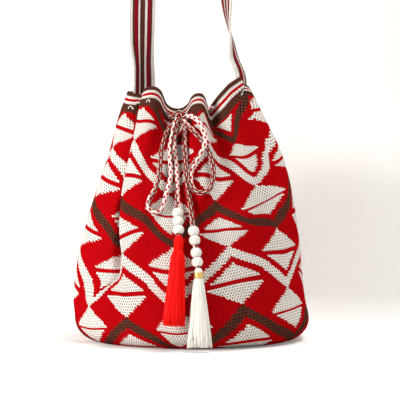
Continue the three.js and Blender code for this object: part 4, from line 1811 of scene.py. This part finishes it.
@dataclass
class Bow:
    """Drawstring round the mouth and the bow that it is tied in. Sizes in millimetres.

    Attributes:
        spacing: Distance between points along a cord, in metres.
        ring: Rows of bearing in degrees and drop below the rim.
        mouth_ways: Ways that the drawstring leaves the knot and comes back. The others are alike.
    """

    bag: BagBody
    diameter: float = 5.5
    touch_gap: float = 0.3
    spacing: float = 0.0016
    knot_centre: Point = (-11.5, -75, 260.5)
    knot_radius: float = 8.5
    wind_radius: float = 3.1
    wind_swell: float = 1.4
    wind_stretch: float = 1.05
    wind_depth: float = 2.6
    wind_steps: int = 160
    wind_turned_by: float = 0.5
    ring: Sequence[tuple[float, float]] = (
        (-28, 34), (-44, 31), (-64, 27), (-88, 23), (-112, 23), (-136, 27), (-160, 32), (-184, 33),
        (-208, 32), (-232, 25), (-256, 19), (-280, 17), (-302, 17), (-323, 22), (-343, 29), (-354, 33),
    )
    left_loop: Sequence[Point] = (
        (-27, -79.3, 242), (-31.8, -87, 225), (-33.6, -93.5, 209), (-35.4, -99.5, 192),
        (-39.3, -105.5, 177), (-44.5, -110, 167.5), (-46.5, -111.5, 160), (-44.2, -113.2, 154.3),
        (-38.5, -114, 152), (-32.8, -113.2, 154.3), (-30.2, -111, 160.5), (-27.6, -106.8, 170),
        (-24.2, -101.5, 181), (-21.9, -96.5, 192), (-22.6, -91.8, 209), (-22.9, -90.2, 224),
        (-20.9, -91.8, 235), (-18.8, -92.7, 244),
    )
    right_loop: Sequence[Point] = (
        (8.5, -96, 254), (12.8, -100, 246.5), (16.3, -103, 235), (15.6, -108, 225.5), (8.6, -110.5, 211.5),
        (1.8, -111.5, 199.6), (0.3, -114.5, 187.5), (3.2, -119, 177.5), (7.8, -121.3, 173.7),
        (13, -122, 172.8), (18.2, -121.3, 174.2), (22.4, -118.8, 178.6), (24.9, -114.5, 187.5),
        (25.5, -110, 201), (23, -107, 213), (17, -102.5, 226), (10, -102.5, 234.5), (0, -95.5, 246),
    )
    red_end: Sequence[Point] = (
        (-17.6, -74.2, 238), (-18, -80, 225), (-16.3, -88, 209), (-15, -96.5, 192), (-14.6, -104.5, 179),
    )
    white_end: Sequence[Point] = (
        (-6.8, -81.5, 238.8), (-6.2, -88.5, 225), (-5.2, -99, 203), (-3.8, -108.5, 187), (-1, -118, 169),
    )
    mouth_ways: tuple[Point, Point] = ((-0.8, 0.6, 0.05), (0.8, 0.6, 0.05))
    left_ways: tuple[Point, Point] = ((-0.7, -0.12, -0.7), (-0.3, -0.85, -0.43))
    right_ways: tuple[Point, Point] = ((0.8, -0.6, -0.02), (0.36, -0.72, -0.59))
    red_way: Point = (-0.2, 0.3, -0.93)
    white_way: Point = (0.36, -0.05, -0.93)

    def knot_exit(self, way: Point) -> list[Point]:
        """Start a cord that leaves the knot square to it.

        Args:
            way: Direction from the knot's middle.

        Returns:
            The cord's first two points.
        """
        direction = Vector(way).normalized()
        centre = Vector(self.knot_centre)
        gaps = (self.touch_gap, self.diameter)
        return [tuple(centre + direction * (self.knot_radius + gap)) for gap in gaps]

    def loop_route(self, ways: tuple[Point, Point], points: Sequence[Point]) -> Route:
        """Route of a cord from the knot and back into it."""
        return Route([*self.knot_exit(ways[0]), *points, *reversed(self.knot_exit(ways[1]))])

    def mouth_route(self) -> Route:
        """Lead the drawstring from one side of the knot round the mouth to the other.

        Returns:
            Its route.
        """
        points = []
        for bearing, drop in self.ring:
            turn, radius = math.radians(bearing), self.bag.drawn_radius
            points.append((radius * math.sin(turn), -radius * math.cos(turn), self.bag.rim_height - drop))
        return self.loop_route(self.mouth_ways, points)

    def end_route(self, way: Point, points: Sequence[Point], hang: Hang) -> Route:
        """Route of a cord from the knot through the beads on its end."""
        return Route([*self.knot_exit(way), *points, *hang.points()])

    def knot(self, material: bpy.types.Material) -> bpy.types.Object:
        """Wind the knot of the bow from the same cord.

        Args:
            material: The braid finish.

        Returns:
            The knot.
        """
        centre = np.array(self.knot_centre) * MM
        turn = np.linspace(0.0, 2 * math.pi, self.wind_steps + 1)
        ring = self.wind_radius + self.wind_swell * np.cos(3 * turn)
        across = ring * np.cos(2 * turn) * self.wind_stretch
        line = np.stack([across, self.wind_depth * np.sin(3 * turn), ring * np.sin(2 * turn)], axis=1) * MM
        mesh = cord_tube(centre + line, 0.5 * self.diameter * MM, self.wind_turned_by)
        piece = finished(mesh, "wound_knot", material)
        stand_for(piece, Body.BAG, "bow_knot")
        return piece

    def cord(self, stretch: Stretch, material: bpy.types.Material) -> bpy.types.Object:
        """Args:
            stretch: The stretch.
            material: The braid finish.

        Returns:
            The cord's piece.
        """
        line = stretch.route.line(self.spacing)
        length = stretch.route.length()
        mesh = cord_tube(line, 0.5 * self.diameter * MM, stretch.turned_by)
        piece = finished(mesh, f"{stretch.name}_braid", material)
        stand_for(piece, Body.BAG, stretch.name)
        LOG.info("%s: %.3f m of cord", stretch.name, length)
        return piece

    def cords(
        self, material: bpy.types.Material, knot: bpy.types.Object,
        red_pieces: Sequence[bpy.types.Object], white_pieces: Sequence[bpy.types.Object],
    ) -> list[bpy.types.Object]:
        """Lay the drawstring, the two loops and the two ends.

        Args:
            material: The braid finish.
            knot: The knot, which the drawstring carries.
            red_pieces: Beads and tassel on the red end.
            white_pieces: Beads and tassel on the white end.

        Returns:
            The cords' pieces.
        """
        left = self.loop_route(self.left_ways, self.left_loop)
        right = self.loop_route(self.right_ways, self.right_loop)
        red_end = self.end_route(self.red_way, self.red_end, RED_HANG)
        white_end = self.end_route(self.white_way, self.white_end, WHITE_HANG)
        stretches = (
            Stretch("drawstring", self.mouth_route(), FarEnd.KNOT, Lay.TAUT, 0.3, [knot]),
            Stretch("left_bow_loop", left, FarEnd.KNOT, Lay.HANGING, 0.3),
            Stretch("right_bow_loop", right, FarEnd.KNOT, Lay.HANGING, 0.96),
            Stretch("red_cord_end", red_end, FarEnd.FITTING, Lay.HANGING, -0.2, red_pieces),
            Stretch("white_cord_end", white_end, FarEnd.FITTING, Lay.HANGING, 0.13, white_pieces),
        )
        return [self.cord(stretch, material) for stretch in stretches]


@dataclass
class Strap:
    """Woven strap from one side of the mouth over to the other. Sizes in millimetres.

    Attributes:
        left_place: Degrees round the bag where it is sewn on the left. The right one is alike.
        route: Rows of x, y, z and the turn of its width in degrees.
    """

    bag: BagBody
    width: float = 31.0
    thickness: float = 3.0
    overlap: float = 12.0
    seat_gap: float = 1.3
    ease: float = 60.0
    steps: int = 460
    columns: int = 20
    edge_radius: float = 0.9
    edge_steps: int = 3
    rim_step: float = 0.25
    rim_reach: float = 50.0
    left_place: float = 260.5
    right_place: float = 70.0
    route: Sequence[tuple[float, float, float, float]] = (
        (-59.5, 4, 338, 28), (-58, 3, 405, 0), (-54, 2, 490, -22), (-46, 1, 580, -52), (-37, 0, 660, -78),
        (-30, 0, 706, -90), (-22, 0, 729, -90), (-6, 0, 740, -90), (10, 0, 729, -90), (18, 0, 706, -90),
        (24, 0, 660, -86), (31, 0, 570, -74), (38, 0, 480, -64), (42.5, 0, 405, -68), (46.5, 0, 370, -90),
        (53, -2, 340, -106),
    )

    def inside_rim(self, place: np.ndarray, depth: float) -> tuple[np.ndarray, np.ndarray]:
        """Points off the inside of the rim, and the level ways along it.

        Args:
            place: Degrees round the bag.
            depth: Distance from the inside of the wall.

        Returns:
            The points in millimetres and the unit ways along the rim.
        """
        way = self.bag.rim(place + self.rim_step) - self.bag.rim(place - self.rim_step)
        way = unit(way * (1, 1, 0))
        inward = np.stack([-way[:, 1], way[:, 0], np.zeros(len(way))], axis=1)
        return self.bag.rim(place) + inward * (self.bag.wall + depth), way

    def seat(self, place: float) -> tuple[np.ndarray, np.ndarray, Callable[[np.ndarray], np.ndarray]]:
        """End of the strap, curved to the rim that it is sewn to.

        Args:
            place: Degrees round the bag.

        Returns:
            The seat's middle, the way of its width, and a function that bends the width to the rim.
        """
        depth = self.seat_gap + 0.5 * self.thickness
        middles, ways = self.inside_rim(np.array([place]), depth)
        middle, across = middles[0], -ways[0]
        walk = np.arange(place - self.rim_reach, place + self.rim_reach + self.rim_step, self.rim_step)
        run = run_along(self.bag.rim(walk) * (1, 1, 0))
        run -= np.interp(place, walk, run)

        def bend(share: np.ndarray) -> np.ndarray:
            """Bend the strap's width from flat to the rim's curve.

            Args:
                share: Places across the width, from -1 to 1.

            Returns:
                Shifts of the points in millimetres.
            """
            beside = np.interp(-0.5 * share * self.width, run, walk)
            curved, _ = self.inside_rim(beside, depth)
            return (curved - middle - 0.5 * self.width * share[:, None] * across) * (1, 1, 0)

        return middle, across, bend

    def centre(self) -> tuple[np.ndarray, np.ndarray]:
        """Lead the strap from one seat over to the other.

        Returns:
            Points of its middle line in millimetres, and the turn of its width at each in degrees.
        """
        left, right = self.seat(self.left_place), self.seat(self.right_place)
        lift = np.array((0.0, 0.0, self.overlap))
        points = [left[0] - lift, left[0] + lift, *(np.array(row[:3], float) for row in self.route),
                  right[0] + lift, right[0] - lift]
        turns = [math.degrees(math.atan2(seat[1][1], seat[1][0])) for seat in (left, right)]
        turns = [turns[0], turns[0], *(row[3] for row in self.route), turns[1], turns[1]]
        fine = Route([tuple(point) for point in points]).fine() / MM
        share = np.linspace(0.0, 1.0, len(fine))
        rows = [(index / (len(turns) - 1), turn) for index, turn in enumerate(turns)]
        turn = smooth_rows(rows, share)[:, 0]
        run = run_along(fine)
        wanted = np.linspace(0.0, run[-1], self.steps + 1)
        return points_at(wanted, run, fine), np.interp(wanted, run, turn)

    def build(self, material: bpy.types.Material) -> bpy.types.Object:
        """Args:
            material: The striped finish.

        Returns:
            The strap.
        """
        line, turn = self.centre()
        length = length_of(line)
        forward = unit(np.gradient(line, axis=0))
        angle = np.radians(turn)
        side = np.stack([np.cos(angle), np.sin(angle), np.zeros(len(angle))], axis=1)
        side = unit(side - forward * (side * forward).sum(axis=1)[:, None])
        seats = [self.seat(self.left_place), self.seat(self.right_place)]

        def form(u: np.ndarray, v: np.ndarray) -> np.ndarray:
            """Lay the strip along its line and fit its ends to the rim.

            Args:
                u: Shares of its width.
                v: Shares of its length.

            Returns:
                Points in metres.
            """
            at = np.rint(v * self.steps).astype(int)
            share = 2 * u - 1
            points = line[at] + 0.5 * self.width * share[:, None] * side[at]
            for middle, across, bend in seats:
                gap = np.linalg.norm(line[at] - middle, axis=1)
                t = np.clip((gap - 2 * self.overlap) / (self.ease - 2 * self.overlap), 0, 1)
                hold = 1 - eased(t)
                same = np.sign(side[at] @ across) * share
                points += hold[:, None] * bend(same)
            return points * MM

        mesh = formed_grid(self.columns, self.steps, form, (1.0, length))
        bmesh.ops.recalc_face_normals(mesh, faces=mesh.faces)
        piece = finished(mesh, "woven_strap", material)
        wall = piece.modifiers.new("wall", "SOLIDIFY")
        wall.thickness = self.thickness * MM
        wall.offset = 0.0
        edge = piece.modifiers.new("edge", "BEVEL")
        edge.width = self.edge_radius * MM
        edge.segments = self.edge_steps
        edge.limit_method = "ANGLE"
        stand_for(piece, Body.BAG, "shoulder_strap")
        return piece


@dataclass(frozen=True)
class PaperFinish(Finish):
    """Matt pale paper, lifted a little so that it reads as white, and clear from behind."""

    name: str = "studio_paper"
    roughness: float = 0.95
    shine: float = 0.5
    grain_scale: float = 60.0
    grain_shade: float = 0.03
    lift: float = 0.2

    def dress(self, bench: MaterialBench) -> None:
        """Grain the paper, lift it and clear its back.

        Args:
            bench: Bench of the material.
        """
        grain = bench.math("MULTIPLY", bench.noise(bench.place(), self.grain_scale), self.grain_shade)
        bench.give("Base Color", bench.mix(grain, PALETTE.paper, PALETTE.paper_shade))
        bench.give("Emission Color", PALETTE.paper_glow)
        bench.give("Emission Strength", bench.math("MULTIPLY", bench.seen(), self.lift))
        mixed = bench.add("ShaderNodeMixShader")
        bench.feed(mixed.inputs[0], bench.add("ShaderNodeNewGeometry").outputs["Backfacing"])
        bench.feed(mixed.inputs[1], bench.shader.outputs[0])
        bench.feed(mixed.inputs[2], bench.add("ShaderNodeBsdfTransparent").outputs[0])
        bench.feed(bench.tree.nodes["Material Output"].inputs["Surface"], mixed.outputs[0])


@dataclass(frozen=True)
class Lamp:
    """Square soft lamp. Lengths in metres and power in watts."""

    name: str
    place: Point
    size: float
    power: float
    colour: Point
    aim: Point = (0.0, 0.0, 0.18)

    def build(self) -> None:
        """Hang the lamp and point it."""
        data = bpy.data.lights.new(self.name, "AREA")
        data.size = self.size
        data.energy = self.power
        data.color = self.colour
        lamp = bpy.data.objects.new(self.name, data)
        lamp.location = self.place
        lamp.rotation_euler = (Vector(self.aim) - Vector(self.place)).to_track_quat("-Z", "Y").to_euler()
        bpy.context.scene.collection.objects.link(lamp)


@dataclass
class Studio:
    """Pale floor and wall, soft lamps and the camera. Lengths in metres."""

    wall_gap: float = 0.19
    reach: float = 3.0
    cove: float = 0.04
    cove_steps: int = 9
    columns: int = 8
    room_light: float = 0.08
    camera_place: Point = (0.0108, -1.5, 0.165)
    lens: float = 112.5
    lamps: Sequence[Lamp] = (
        Lamp("key", (-1.93, -1.3, 0.95), 0.8, 53.0, (1.0, 0.985, 0.96)),
        Lamp("top", (0.75, -0.5, 2.2), 1.0, 40.0, (1.0, 0.98, 0.95)),
    )

    def room(self) -> bpy.types.World:
        """Make the soft light all round, which shows as white.

        Returns:
            The world.
        """
        world = bpy.data.worlds.new("soft_room")
        world.use_nodes = True
        bench = NodeBench(world.node_tree)
        background = world.node_tree.nodes["Background"]
        seen = bench.seen()
        bench.feed(background.inputs["Color"], bench.mix(seen, PALETTE.room, PALETTE.white))
        strength = bench.scaled(seen, 1.0 - self.room_light, self.room_light)
        bench.feed(background.inputs["Strength"], strength)
        return world

    def backdrop(self) -> bpy.types.Object:
        """Lay a floor that turns up into a wall behind the bag.

        Returns:
            The backdrop.
        """
        cove, back = self.cove, self.wall_gap - self.cove
        angles = np.linspace(0.0, 0.5 * math.pi, self.cove_steps)
        turn = [(back + cove * math.sin(angle), cove - cove * math.cos(angle)) for angle in angles]
        rows = np.array([(-self.reach, 0.0), *turn, (self.wall_gap, self.reach)])

        def form(u: np.ndarray, v: np.ndarray) -> np.ndarray:
            """Place the grid on the floor and the wall."""
            at = np.rint(v * (len(rows) - 1)).astype(int)
            return np.stack([self.reach * (2 * u - 1), rows[at, 0], rows[at, 1]], axis=1)

        mesh = formed_grid(self.columns, len(rows) - 1, form, (1.0, 1.0))
        bmesh.ops.recalc_face_normals(mesh, faces=mesh.faces)
        if max(face.normal.z for face in mesh.faces) < 0.5:
            bmesh.ops.reverse_faces(mesh, faces=mesh.faces)
        return finished(mesh, "studio_backdrop", PaperFinish().build())

    def build(self) -> None:
        """Set up the backdrop, the lamps, the surrounding light and the camera."""
        self.backdrop()
        for lamp in self.lamps:
            lamp.build()
        bpy.context.scene.world = self.room()
        data = bpy.data.cameras.new("camera")
        data.lens = self.lens
        camera = bpy.data.objects.new("camera", data)
        camera.location = self.camera_place
        camera.rotation_euler = (0.5 * math.pi, 0.0, 0.0)
        bpy.context.scene.collection.objects.link(camera)
        bpy.context.scene.camera = camera
        bpy.context.scene.view_settings.view_transform = "Standard"


def main() -> None:
    """Light the studio, build the bag in order and report each piece."""
    logging.basicConfig(level=logging.INFO, format="%(message)s")
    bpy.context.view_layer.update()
    finishes = Finishes()
    Studio().build()
    bag = BagBody()
    bow = Bow(bag)
    body = bag.build(finishes.crochet, bow.mouth_route().line(bow.spacing))
    strap = Strap(bag).build(finishes.strap)
    knot = bow.knot(finishes.braid)
    red_pieces = RED_HANG.beads(finishes.bead)
    red_pieces += RED_TASSEL.build(finishes.red_silk, finishes.red_silk)
    white_pieces = WHITE_HANG.beads(finishes.bead)
    white_pieces += WHITE_TASSEL.build(finishes.white_silk, finishes.gold)
    cords = bow.cords(finishes.braid, knot, red_pieces, white_pieces)
    for piece in (body, strap, knot, *red_pieces, *white_pieces, *cords):
        LOG.info("%s: %d faces", piece.name, len(piece.data.polygons))


if __name__ == "__main__":
    main()
